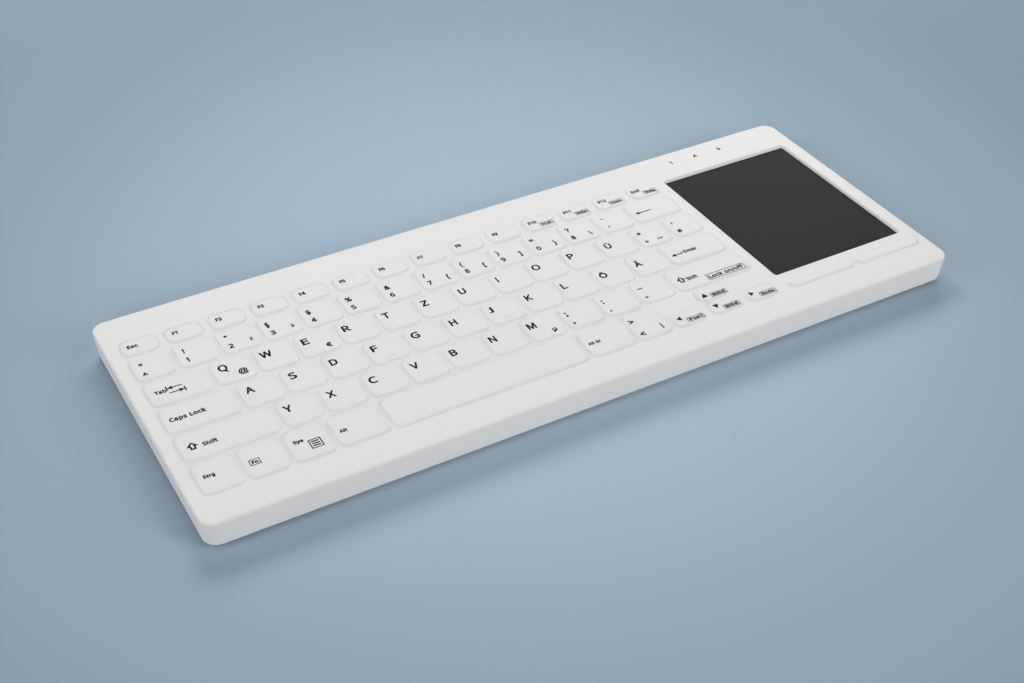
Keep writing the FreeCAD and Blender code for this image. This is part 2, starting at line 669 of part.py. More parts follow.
def make_ribbon():
    """The flat flex from the touchpad board down through the key frame to the controller board."""
    left, right, thick = f"({PAD_X} - 6)", f"({PAD_X} + 6)", "0.4"
    back = f"({RIBBON_Y} + {thick} / 2)"
    drop = box("ribbon_drop", left, right, f"({RIBBON_Y} - {thick} / 2)", back, RIBBON_SHELF, FRAME_TOP)
    run = box("ribbon_run", left, right, f"({RIBBON_Y} - 14)", back, RIBBON_SHELF,
              f"({RIBBON_SHELF} + {thick})")
    return fuse("ribbon_cable", [drop, run])


def make_gasket():
    """A flat ring on the wall of the tray, under the key frame."""
    ring = shell("gasket_block", f"({TRAY_OUTSIDE} + 0.2)", TRAY_TOP, FRAME_UNDER)
    inside = shell("gasket_inside", f"({TRAY_OUTSIDE} + 1.4)", f"({TRAY_TOP} - 1)", f"({FRAME_UNDER} + 1)")
    return cut("case_gasket", ring, inside)


def make_layers(passages):
    """Steel plate, membrane circuit and dome sheet, stacked under the key field."""
    left, right = f"({FIELD_LEFT} - 1)", f"({FIELD_RIGHT} + 1)"
    front = f"({FIELD_FRONT} - 1)"
    back = f"({LETTERS_FRONT} + 4 * sizes.row_pitch + sizes.function_depth + 1)"
    plate = box("support_plate", left, right, front, back, FLOOR_TOP, PLATE_TOP)
    sheet_block = box("membrane_block", left, right, front, back, PLATE_TOP, MEMBRANE_TOP)
    tail = box("membrane_tail", f"({right} - 1)", f"({PAD_X} - sizes.board_width / 2 + 8)",
               f"({PAD_Y} - 8)", f"({PAD_Y} + 8)", PLATE_TOP, MEMBRANE_TOP)
    membrane = fuse("membrane_circuit", [sheet_block, tail])
    mat_block = box("mat_block", left, right, front, back, MEMBRANE_TOP, MAT_TOP)
    return [plate, membrane, cut("dome_sheet", mat_block, passages)]


def make_touchpad():
    """The dark touch surface, tucked under the cover, on its own board."""
    body = add("PartDesign::Body", "touchpad_surface")
    face = outline(body, "touchpad_outline", "sizes.pad_width + 2 * sizes.pad_seat",
                   f"{PAD_DEPTH} + sizes.pad_seat", "sizes.pad_corner + 1",
                   f"({SKIN_UNDER} - sizes.pad_thick)", PAD_X, f"({PAD_Y} + sizes.pad_seat / 2 - 0.3)")
    pad_up(body, "touchpad_sheet", face, "sizes.pad_thick")
    board = box("touchpad_board", f"({PAD_X} - sizes.pad_width / 2 + 2)", f"({PAD_X} + sizes.pad_width / 2 - 2)",
                f"({PAD_FRONT} + 2)", f"({PAD_FRONT} + {PAD_DEPTH} - 2)",
                FRAME_TOP, f"({SKIN_UNDER} - sizes.pad_thick)")
    return [body, board]


def make_controller():
    """The controller board with its chip, crystal and two connectors."""
    half_x, half_y = "sizes.board_width / 2", "sizes.board_depth / 2"
    panel = box("board_panel", f"({PAD_X} - {half_x})", f"({PAD_X} + {half_x})",
                f"({PAD_Y} - {half_y})", f"({PAD_Y} + {half_y})", BOARD_UNDER, BOARD_TOP)

    def part(name, x, y, wide, deep, lower):
        """A part on the board that ends this much lower than the ribbon's shelf."""
        return box(name, f"({PAD_X} + {x} - {wide} / 2)", f"({PAD_X} + {x} + {wide} / 2)",
                   f"({PAD_Y} + {y} - {deep} / 2)", f"({PAD_Y} + {y} + {deep} / 2)",
                   f"({BOARD_TOP} - 0.2)", f"({RIBBON_SHELF} - {lower})")

    chip = part("chip", "0", "-8", 12, 12, 0.8)
    crystal = part("crystal", "14", "-10", 4, 8, 0.6)
    ribbon_socket = part("ribbon_socket", "0", f"{half_y} - 25", 16, 5, 0)
    tail_end = f"({PAD_X} - {half_x} + 8)"
    tail_socket = box("tail_socket", tail_end, f"({tail_end} + 5)", f"({PAD_Y} - 9)", f"({PAD_Y} + 9)",
                      f"({FLOOR_TOP} + 0.4)", f"({BOARD_UNDER} + 0.2)")
    return fuse("controller_board", [panel, chip, crystal, ribbon_socket, tail_socket])


def make_button_switches(layout):
    switches = []
    for name, left, right, front, back in layout:
        x, y = middle_of(left, right), middle_of(front, back)
        case = square(f"switch_case_{name}", x, y, "6", FRAME_TOP, f"({FRAME_TOP} + 0.6)")
        knob = column(f"switch_knob_{name}", x, y, f"({FRAME_TOP} + 0.4)",
                      f"({NUB_UNDER} - sizes.button_travel - 0.2)", "1.5")
        switches.append(fuse(f"switch_{name}", [case, knob]))
    return group("button_switches", switches)


def make_status_lights():
    """Three light guides that end under the thin silicone of the deck."""
    guides = []
    for number in range(3):
        x = f"({PAD_LEFT} + sizes.light_start + {number} * sizes.light_pitch)"
        y = f"({CASE_DEPTH} / 2 - sizes.light_back)"
        guides.append(column(f"light{number}", x, y, FRAME_TOP, SKIN_UNDER, "sizes.light_radius"))
    return group("status_lights", guides)


def make_screws():
    """Screws from below, through the tray into the key frame."""
    screws = []
    for number, (x, y) in enumerate(screw_places()):
        head = column(f"head{number}", x, y, f"({UNDERSIDE} + 0.2)", f"({UNDERSIDE} + sizes.head_height)",
                      "sizes.head_radius")
        shank = column(f"shank{number}", x, y, f"({UNDERSIDE} + 0.8)", f"({SKIN_UNDER} - 0.9)",
                       "sizes.screw_radius - 0.05")
        screws.append(fuse(f"screw{number}", [head, shank]))
    return group("case_screws", screws)


def make_feet():
    return group("rubber_feet", [slab(f"foot{number}", x, y, "sizes.foot_length", "sizes.foot_width",
                                      size("foot_corner"), "0", f"({UNDERSIDE} + sizes.foot_seat)")
                                 for number, (x, y) in enumerate(foot_places())])


def build():
    keys, buttons = key_layout(), button_layout()
    pads, clearings = pad_blocks(keys + buttons)
    cut_corners(pads, "corners")
    cut_corners(clearings, "opening")
    slope_edges(pads)
    passages = stem_passages(keys)
    nodes = [make_bottom_case(), make_key_frame(passages), make_cover(clearings), make_gasket()]
    nodes += make_layers(passages)
    nodes += make_touchpad()
    nodes += [make_controller(), make_ribbon(), make_status_lights(), make_button_switches(buttons)]
    gland = gland_bore("cable_gland", "0")
    nodes += [gland, make_screws(), make_feet()]
    nodes += make_keys(keys, pads)
    nodes += make_buttons(buttons, pads)
    return nodes


def export(nodes):
    os.makedirs("parts", exist_ok=True)
    doc.recompute()
    failed = [item.Name for item in doc.Objects if "Invalid" in item.State or "Error" in item.State]
    if failed:
        raise RuntimeError(f"not computed: {failed}")
    for node in nodes:
        if node.Shape.isNull() or not node.Shape.isValid():
            raise RuntimeError(f"{node.Label} has no valid shape")
    for node in nodes:
        node.Shape.exportStep(f"parts/{node.Label}.step")
        print(f"{node.Label}: {len(node.Shape.Solids)} solids, {node.Shape.Volume / 1000:.2f} cm3")
    print(f"{len(nodes)} nodes")


export(build())
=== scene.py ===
"""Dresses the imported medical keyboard: silicone cover, key pads with their print, and a studio."""

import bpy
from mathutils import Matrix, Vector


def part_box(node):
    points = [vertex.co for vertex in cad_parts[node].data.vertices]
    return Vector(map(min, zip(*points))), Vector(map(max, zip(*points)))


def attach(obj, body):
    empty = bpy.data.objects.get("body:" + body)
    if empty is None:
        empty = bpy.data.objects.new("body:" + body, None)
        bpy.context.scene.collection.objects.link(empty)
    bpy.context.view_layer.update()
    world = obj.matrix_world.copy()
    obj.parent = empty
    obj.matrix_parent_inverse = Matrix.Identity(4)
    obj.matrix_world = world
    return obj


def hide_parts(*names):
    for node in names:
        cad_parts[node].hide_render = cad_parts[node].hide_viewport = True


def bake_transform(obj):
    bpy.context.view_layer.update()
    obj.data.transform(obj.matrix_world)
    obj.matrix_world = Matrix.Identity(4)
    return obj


bl_info = {
    "name": "Medical Keyboard Dressing",
    "version": (1, 0, 0),
    "blender": (4, 5, 0),
    "location": "View3D > Sidebar > Keyboard",
    "description": "Cover, printed key pads, touchpad and studio of a sealed medical keyboard",
    "category": "Object",
}

import math

import bmesh
import bpy
from mathutils import Vector

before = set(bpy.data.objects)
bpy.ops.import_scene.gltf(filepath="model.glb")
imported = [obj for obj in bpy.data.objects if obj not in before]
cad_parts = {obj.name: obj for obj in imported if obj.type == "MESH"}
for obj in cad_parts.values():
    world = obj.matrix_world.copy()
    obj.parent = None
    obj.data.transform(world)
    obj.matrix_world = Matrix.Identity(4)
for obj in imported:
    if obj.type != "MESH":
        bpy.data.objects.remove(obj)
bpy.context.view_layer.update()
COVER_LOW, COVER_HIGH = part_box("silicone_cover")
KEY_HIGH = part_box("key_q")[1]
FOOT_LOW, FOOT_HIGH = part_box("rubber_feet")
SCREW_LOW, SCREW_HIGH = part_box("case_screws")
GLAND_LOW, GLAND_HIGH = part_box("cable_gland")

MM = 0.001
NEAR = 0.01 * MM  # two heights closer than this are the same

# Small forms that have no size of their own above
BUTTON_SHIFT = 0.3 * MM  # left button beyond the touchpad opening
BUTTON_CREST = 1.0 * MM  # from a button's front edge to the crest of its slope
FOOT_LONG, FOOT_WIDE = 22.0 * MM, 9.0 * MM
SCREW_RADIUS, SCREW_HEAD, SCREW_SHANK = 2.35 * MM, 1.1 * MM, 1.1 * MM
GLAND_RISE = 0.12 * MM  # rim of the gland
MARK_START, MARK_PITCH, MARK_BACK, MARK_CAPITAL = 12.9 * MM, 14.75 * MM, 10.3 * MM, 2.6 * MM
ARROW_HEAD, ARROW_LINE = 2.4 * MM, 0.62 * MM


# Sizes and colours that a user would change
def length(name, description, default):
    return bpy.props.FloatProperty(name=name, description=description, default=default,
                                   unit="LENGTH", subtype="DISTANCE", precision=5)


def colour(name, description, default):
    return bpy.props.FloatVectorProperty(name=name, description=description, default=default,
                                         size=4, min=0.0, max=1.0, subtype="COLOR")


class KeyboardSizes(bpy.types.PropertyGroup):
    """Sizes of the cover, the keys and the print"""

    case_width: length("Case width", "Outside width at the deck", 0.3676)
    case_depth: length("Case depth", "Outside depth at the deck", 0.140)
    deck: length("Deck", "Height of the deck above the table", COVER_HIGH.z)
    underside: length("Underside", "Height of the case's underside", COVER_LOW.z)
    corner_radius: length("Corner radius", "Outer corners seen from above", 0.0065)
    wall_draft: length("Wall draft", "How far the walls lean in at the bottom", 0.001)
    top_round: length("Top round", "Rounding between deck and walls", 0.0010)
    skin: length("Skin", "Thickness of the silicone", 0.0015)
    lip_reach: length("Lip reach", "Width of the lip under the case", 0.0034)
    left_border: length("Left border", "Deck edge to the first key", 0.0063)
    front_border: length("Front border", "Deck edge to the front row", 0.015)
    key_pitch: length("Key pitch", "Letter keys, left to right", 0.01905)
    row_pitch: length("Row pitch", "Letter rows, front to back", 0.0185)
    front_row_pitch: length("Front row pitch", "Front row to the row behind it", 0.021)
    key_gap: length("Key gap", "Gap between two key pads", 0.00135)
    key_corner: length("Key corner", "Corner radius of a key pad", 0.0034)
    web: length("Web", "Silicone between a key pad and the deck", 0.0003)
    key_top: length("Key top", "Height of the key tops above the table", KEY_HIGH.z)
    field_extra: length("Field extra", "Key field beyond fourteen and a quarter pitches", 0.00186)
    function_gap: length("Function gap", "Gap between two function keys", 0.00304)
    function_depth: length("Function depth", "Function keys, front to back", 0.011)
    pad_left: length("Touchpad left", "Deck edge to the touchpad opening", 0.2862)
    pad_front: length("Touchpad front", "Deck edge to the touchpad opening", 0.0276)
    pad_width: length("Touchpad width", "Touchpad opening, left to right", 0.0735)
    pad_depth: length("Touchpad depth", "Touchpad opening, front to back", 0.0903)
    pad_corner: length("Touchpad corner", "Corner radius of the opening", 0.0009)
    pad_rim: length("Touchpad rim", "Rounding of the opening's rim", 0.0013)
    button_width: length("Button width", "Pointer button, left to right", 0.0376)
    button_depth: length("Button depth", "Pointer button, front to back", 0.0096)
    button_gap: length("Button gap", "Between the two pointer buttons", 0.0015)
    button_slope: length("Button slope", "From a pointer button's crest back to the deck", 0.0042)
    print_weight: length("Print weight", "Added to each side of a stroke of a letter", 0.00021)
    ink_lift: length("Ink lift", "Middle of the print above the silicone", 0.00002)


class KeyboardColours(bpy.types.PropertyGroup):
    """Colours of the keyboard and its studio"""

    silicone: colour("Silicone", "Cover and key pads", (0.79, 0.79, 0.785, 1.0))
    ink: colour("Ink", "Print on the keys", (0.006, 0.006, 0.007, 1.0))
    mark: colour("Mark", "Signs over the status lights", (0.02, 0.02, 0.02, 1.0))
    touchpad: colour("Touchpad", "Touch surface", (0.023, 0.023, 0.023, 1.0))
    case: colour("Case", "Bottom case", (0.70, 0.70, 0.69, 1.0))
    floor: colour("Floor", "Table top", (0.445, 0.575, 0.69, 1.0))


# Procedural materials
class Wire:
    """A shader socket that a number can be added to or multiplied with."""

    def __init__(self, tree, socket):
        self.tree, self.socket = tree, socket

    def math(self, operation, number):
        step = self.tree.nodes.new("ShaderNodeMath")
        step.operation = operation
        step.inputs[0].default_value = number
        self.tree.links.new(self.socket, step.inputs[1])
        return Wire(self.tree, step.outputs[0])

    def __radd__(self, number):
        return self.math("ADD", number)

    def __rmul__(self, number):
        return self.math("MULTIPLY", number)


class Finish:
    """A material under construction."""

    def __init__(self, name, roughness, **constants):
        self.material = bpy.data.materials.new(name)
        self.material.use_nodes = True
        self.tree = self.material.node_tree
        self.shader = self.tree.nodes["Principled BSDF"]
        self.shader.inputs["Roughness"].default_value = roughness
        for socket, value in constants.items():
            self.shader.inputs[socket.replace("_", " ")].default_value = value
        self.place = self.node("ShaderNodeTexCoord").tree_output("Object")

    def node(self, kind, settings=None, **inputs):
        """Add a node, set it up and give its sockets values or links; at_1 is socket number 1."""
        made = self.tree.nodes.new(kind)
        for name, value in (settings or {}).items():
            setattr(made, name, value)
        for name, value in inputs.items():
            key = int(name[3:]) if name.startswith("at_") else name.replace("_", " ")
            socket = made.inputs[key]
            if isinstance(value, Wire):
                self.tree.links.new(value.socket, socket)
            else:
                socket.default_value = value
        return Node(self.tree, made)

    def noise(self, scale, detail):
        return self.node("ShaderNodeTexNoise", Vector=self.place, Scale=scale,
                         Detail=detail).tree_output(0)

    def mix(self, share, first, second):
        """A colour between two colours."""
        return self.node("ShaderNodeMix", {"data_type": "RGBA"}, at_0=share, at_6=first,
                         at_7=second).tree_output(2)

    def feed(self, socket, wire):
        self.tree.links.new(wire.socket, self.shader.inputs[socket])

    def bump(self, height, distance, strength):
        made = self.node("ShaderNodeBump", Height=height, Distance=distance, Strength=strength)
        self.feed("Normal", made.tree_output("Normal"))


class Node:
    """A node whose outputs are read by name or number."""

    def __init__(self, tree, made):
        self.tree, self.made = tree, made

    def tree_output(self, name):
        return Wire(self.tree, self.made.outputs[name])


def shade(tint, factor):
    """A colour made lighter or darker."""
    return tuple(min(1.0, part * factor) for part in tint[:3]) + (1.0,)


def finish_named(name):
    """The finish with this name, made when it is first asked for."""
    if name not in bpy.data.materials:
        FINISHES[name](name)
    return bpy.data.materials[name]


def silicone_finish(name):
    tint = bpy.context.scene.keyboard_colours.silicone
    finish = Finish(name, 0.55)
    cloud = finish.noise(38.0, 3.0)
    grain = finish.noise(2600.0, 2.0)
    finish.feed("Base Color", finish.mix(cloud, shade(tint, 0.985), shade(tint, 1.01)))
    finish.feed("Roughness", 0.50 + 0.10 * cloud)
    finish.bump(grain, 0.00001, 0.5)


def print_finish(colour_name, specular, lightest):
    """A maker of the finishes of printed signs."""
    def make(name):
        tint = getattr(bpy.context.scene.keyboard_colours, colour_name)
        finish = Finish(name, 0.5, Specular_IOR_Level=specular)
        cloud = finish.noise(900.0, 2.0)
        finish.feed("Base Color", finish.mix(cloud, shade(tint, 0.8), shade(tint, lightest)))
        finish.feed("Roughness", 0.45 + 0.15 * cloud)
    return make


def touchpad_finish(name):
    tint = bpy.context.scene.keyboard_colours.touchpad
    finish = Finish(name, 0.6, Specular_IOR_Level=0.07)
    cloud = finish.noise(20.0, 3.0)
    grain = finish.noise(3200.0, 2.0)
    finish.feed("Base Color", finish.mix(cloud, shade(tint, 0.95), shade(tint, 1.06)))
    finish.feed("Roughness", 0.56 + 0.08 * grain)
    finish.bump(grain, 0.00001, 0.6)


def case_finish(name):
    tint = bpy.context.scene.keyboard_colours.case
    finish = Finish(name, 0.6)
    cloud = finish.noise(30.0, 3.0)
    grain = finish.noise(1500.0, 3.0)
    finish.feed("Base Color", finish.mix(cloud, shade(tint, 0.97), shade(tint, 1.02)))
    finish.feed("Roughness", 0.55 + 0.12 * grain)
    finish.bump(grain, 0.00003, 0.7)


def plain_finish(tint, roughness, metallic=0.0, scale=600.0, depth=0.00002):
    """A maker of simple finishes for the pieces inside and underneath."""
    def make(name):
        finish = Finish(name, roughness, Metallic=metallic)
        cloud = finish.noise(scale, 3.0)
        finish.feed("Base Color", finish.mix(cloud, shade(tint, 0.92), shade(tint, 1.05)))
        finish.feed("Roughness", (roughness - 0.05) + 0.10 * cloud)
        finish.bump(cloud, depth, 0.5)
    return make


def steel_finish(name):
    """Sheet steel with fine lines along the rolling direction."""
    finish = Finish(name, 0.35, Metallic=1.0)
    stretched = finish.node("ShaderNodeMapping", Vector=finish.place, Scale=(20.0, 3000.0, 20.0))
    lines = finish.node("ShaderNodeTexNoise", Vector=stretched.tree_output("Vector"), Scale=1.0,
                        Detail=2.0).tree_output(0)
    finish.feed("Base Color", finish.mix(lines, (0.50, 0.51, 0.52, 1.0), (0.66, 0.66, 0.67, 1.0)))
    finish.feed("Roughness", 0.28 + 0.16 * lines)
    finish.bump(lines, 0.00001, 0.4)


def floor_finish(name):
    """A table top with painted light: its colour is painted darker away from its middle as a painted
    falloff of light, and it glows softly far out as painted light.
    """
    tint = bpy.context.scene.keyboard_colours.floor
    finish = Finish(name, 0.9, Specular_IOR_Level=0.1, Emission_Strength=1.0)
    reach = finish.node("ShaderNodeVectorMath", {"operation": "LENGTH"},
                        at_0=finish.place).tree_output("Value")

    def ramp(start, end):
        return finish.node("ShaderNodeMapRange", {"interpolation_type": "SMOOTHSTEP"}, Value=reach,
                           From_Min=start, From_Max=end).tree_output("Result")

    # Painted falloff: the base colour grows darker away from the middle. Painted glow: the floor
    # emits light far out.
    finish.feed("Base Color", finish.mix(ramp(*PAINTED_FALLOFF_RAMP), shade(tint, 1.0), FLOOR_PAINTED_FALLOFF))
    finish.feed("Emission Color", finish.mix(ramp(*PAINTED_GLOW_RAMP), (0.0, 0.0, 0.0, 1.0), FAR_PAINTED_GLOW))


# Colours of the painted light on the floor far from the middle, a painted falloff and a painted
# glow, and the metres over which they come in
FLOOR_PAINTED_FALLOFF = (0.26, 0.345, 0.41, 1.0)
PAINTED_FALLOFF_RAMP = (0.0, 0.4)
FAR_PAINTED_GLOW = (0.23, 0.30, 0.36, 1.0)
PAINTED_GLOW_RAMP = (1.0, 2.8)
FINISHES = {
    "soft silicone": silicone_finish,
    "black print": print_finish("ink", 0.06, 1.6),
    "grey print": print_finish("mark", 0.1, 1.3),
    "touch surface": touchpad_finish,
    "case plastic": case_finish,
    "frame plastic": plain_finish((0.30, 0.31, 0.32), 0.5),
    "gasket foam": plain_finish((0.03, 0.03, 0.03), 0.85, scale=2500.0, depth=0.0001),
    "plate steel": steel_finish,
    "circuit film": plain_finish((0.45, 0.40, 0.22), 0.3, scale=200.0),
    "dome rubber": plain_finish((0.60, 0.61, 0.58), 0.6),
    "board resin": plain_finish((0.02, 0.13, 0.05), 0.35, scale=900.0),
    "light guide": plain_finish((0.80, 0.82, 0.78), 0.15, scale=300.0),
    "switch plastic": plain_finish((0.03, 0.03, 0.03), 0.45),
    "gland rubber": plain_finish((0.58, 0.58, 0.57), 0.65, scale=1500.0),
    # Near-black painted shade for the floor of the gland's bore
    "cord hole": plain_finish((0.01, 0.01, 0.01), 0.8),
    "screw steel": plain_finish((0.55, 0.55, 0.56), 0.3, metallic=1.0, scale=1200.0),
    "foot rubber": plain_finish((0.035, 0.035, 0.036), 0.75, scale=2200.0, depth=0.00006),
    # Table top with a painted falloff of light and a painted glow far out
    "plain floor": floor_finish,
}

NODE_FINISHES = {
    "bottom_case": "case plastic",
    "key_frame": "frame plastic",
    "case_gasket": "gasket foam",
    "support_plate": "plate steel",
    "membrane_circuit": "circuit film",
    "dome_sheet": "dome rubber",
    "touchpad_surface": "touch surface",
    "touchpad_board": "board resin",
    "controller_board": "board resin",
    "ribbon_cable": "circuit film",
    "status_lights": "light guide",
    "button_switches": "switch plastic",
}


# Modelling steps
def select_only(*pieces):
    bpy.ops.object.select_all(action="DESELECT")
    for piece in pieces:
        piece.select_set(True)
    bpy.context.view_layer.objects.active = pieces[0]


def edit(piece):
    select_only(piece)
    bpy.ops.object.mode_set(mode="EDIT")


def leave_edit():
    bpy.ops.object.mode_set(mode="OBJECT")


def pick(kind, test):
    """Select the faces, edges or vertices of the mesh in edit mode that pass a test."""
    bpy.ops.mesh.select_mode(type=kind)
    bpy.ops.mesh.select_all(action="DESELECT")
    mesh = bmesh.from_edit_mesh(bpy.context.object.data)
    for item in {"FACE": mesh.faces, "EDGE": mesh.edges, "VERT": mesh.verts}[kind]:
        if test(item):
            item.select_set(True)
    mesh.select_flush_mode()
    bmesh.update_edit_mesh(bpy.context.object.data)


def fix_place(piece):
    select_only(piece)
    bpy.ops.object.transform_apply(location=True, rotation=True, scale=True)


def add_block(name, low, high):
    low, high = Vector(low), Vector(high)
    bpy.ops.object.select_all(action="DESELECT")
    bpy.ops.mesh.primitive_cube_add(size=1.0, location=(low + high) / 2)
    block = bpy.context.object
    block.name, block.scale = name, high - low
    fix_place(block)
    return block


def add_plate(name, width, depth, radius, level):
    """A flat face with rounded corners, about the origin."""
    bpy.ops.object.select_all(action="DESELECT")
    bpy.ops.mesh.primitive_plane_add(size=1.0, location=(0.0, 0.0, level))
    plate = bpy.context.object
    plate.name, plate.scale = name, (width, depth, 1.0)
    fix_place(plate)
    edit(plate)
    pick("VERT", lambda vertex: True)
    bpy.ops.mesh.bevel(affect="VERTICES", offset=radius, segments=7, profile=0.5)
    leave_edit()
    return plate


def apply_modifier(piece, kind, **settings):
    select_only(piece)
    bpy.ops.object.modifier_add(type=kind)
    step = piece.modifiers[-1]
    for name, value in settings.items():
        setattr(step, name, value)
    bpy.ops.object.modifier_apply(modifier=step.name)


def smooth(piece, degrees):
    select_only(piece)
    bpy.ops.object.shade_smooth_by_angle(angle=math.radians(degrees))


def paint(piece, finish):
    piece.data.materials.clear()
    piece.data.materials.append(finish_named(finish))
    return piece


def join(name, pieces):
    select_only(*pieces)
    if len(pieces) > 1:
        bpy.ops.object.join()
    joined = bpy.context.view_layer.objects.active
    joined.name = joined.data.name = name
    return joined


def copy_to(piece, name, place):
    """A copy with its own mesh, moved there and fixed in place."""
    twin = piece.copy()
    twin.data = piece.data.copy()
    twin.name = name
    bpy.context.scene.collection.objects.link(twin)
    twin.location = place
    fix_place(twin)
    return twin


def discard(piece):
    bpy.data.objects.remove(piece, do_unlink=True)


# The keys: which node they ride on, their name and their edges on the deck
def key_rows(s):
    """Name, left, right, front and back edge of every key pad."""
    left = s.left_border - s.case_width / 2
    front = s.front_border - s.case_depth / 2
    field = 14.25 * s.key_pitch + s.field_extra
    function = (field + s.function_gap) / 14
    rows = []

    def column(place):
        start = left + place * function
        return start, start + function - s.function_gap

    def letters(row, start, names):
        near = front + s.front_row_pitch + (row - 1) * s.row_pitch
        for place, name in enumerate(names):
            begin = left + (start + place) * s.key_pitch
            rows.append((name, begin, begin + s.key_pitch - s.key_gap, near,
                         near + s.row_pitch - s.key_gap))

    def wide(row, name, start, end=None):
        near = front + s.front_row_pitch + (row - 1) * s.row_pitch
        far = left + field if end is None else left + end * s.key_pitch - s.key_gap
        rows.append((name, left + start * s.key_pitch, far, near, near + s.row_pitch - s.key_gap))

    near = front + s.front_row_pitch + 4 * s.row_pitch
    for place, name in enumerate(["esc"] + [f"f{number}" for number in range(1, 13)] + ["delete"]):
        rows.append((name, *column(place), near, near + s.function_depth))
    letters(4, 0, ["caret", *"1234567890", "sharp_s", "accent"])
    wide(4, "backspace", 13)
    wide(3, "tab", 0, 1.5)
    letters(3, 1.5, [*"qwertzuiop", "u_umlaut", "plus"])
    wide(3, "hash", 13.5)
    wide(2, "caps_lock", 0, 1.75)
    letters(2, 1.75, [*"asdfghjkl", "o_umlaut", "a_umlaut"])
    wide(2, "enter", 12.75)
    wide(1, "shift_left", 0, 2.25)
    letters(1, 2.25, [*"yxcvbnm", "comma", "period", "minus"])
    wide(1, "shift_right", 12.25)
    back = front + s.front_row_pitch - s.key_gap
    middle = (front + back) / 2
    for name, start, end in (("ctrl", 0, 1), ("fn", 1, 2), ("system", 2, 3), ("alt", 3, 4.25)):
        far = left + end * s.key_pitch - s.key_gap
        rows.append((name, left + start * s.key_pitch, far, front, back))
    angle = column(11)[0] - s.key_pitch
    alt_gr = angle - 1.25 * s.key_pitch
    rows.append(("space", left + 4.25 * s.key_pitch, alt_gr - s.key_gap, front, back))
    rows.append(("alt_gr", alt_gr, angle - s.key_gap, front, back))
    rows.append(("angle", angle, column(11)[0] - s.key_gap, front, back))
    lower, upper = (front, middle - s.key_gap / 2), (middle + s.key_gap / 2, back)
    for name, place, edges in (("arrow_left", 11, lower), ("arrow_down", 12, lower),
                               ("arrow_up", 12, upper), ("arrow_right", 13, lower)):
        rows.append((name, *column(place), *edges))
    return rows


SHARED_NODES = {
    "keys_f1_to_f6": [f"f{number}" for number in range(1, 7)],
    "keys_f7_to_f12": [f"f{number}" for number in range(7, 13)],
    "keys_digits_left": ["caret", "1", "2", "3", "4", "5"],
    "keys_digits_right": ["6", "7", "8", "9", "0", "sharp_s", "accent"],
    "keys_modifiers": ["ctrl", "fn", "system", "alt", "alt_gr"],
    "keys_symbols": ["u_umlaut", "plus", "hash", "o_umlaut", "a_umlaut", "comma", "period", "minus",
                     "angle"],
    "keys_arrows": ["arrow_left", "arrow_down", "arrow_up", "arrow_right"],
}


def node_of(key):
    """The CAD node, and body, that holds a key."""
    for node, keys in SHARED_NODES.items():
        if key in keys:
            return node
    return f"key_{key}"


def button_rows(s):
    left = s.pad_left - s.case_width / 2 - BUTTON_SHIFT
    front = s.front_border - s.case_depth / 2
    back = front + s.button_depth
    second = left + s.button_width + s.button_gap
    return [("pointer_button_left", left, left + s.button_width, front, back),
            ("pointer_button_right", second, second + s.button_width, front, back)]


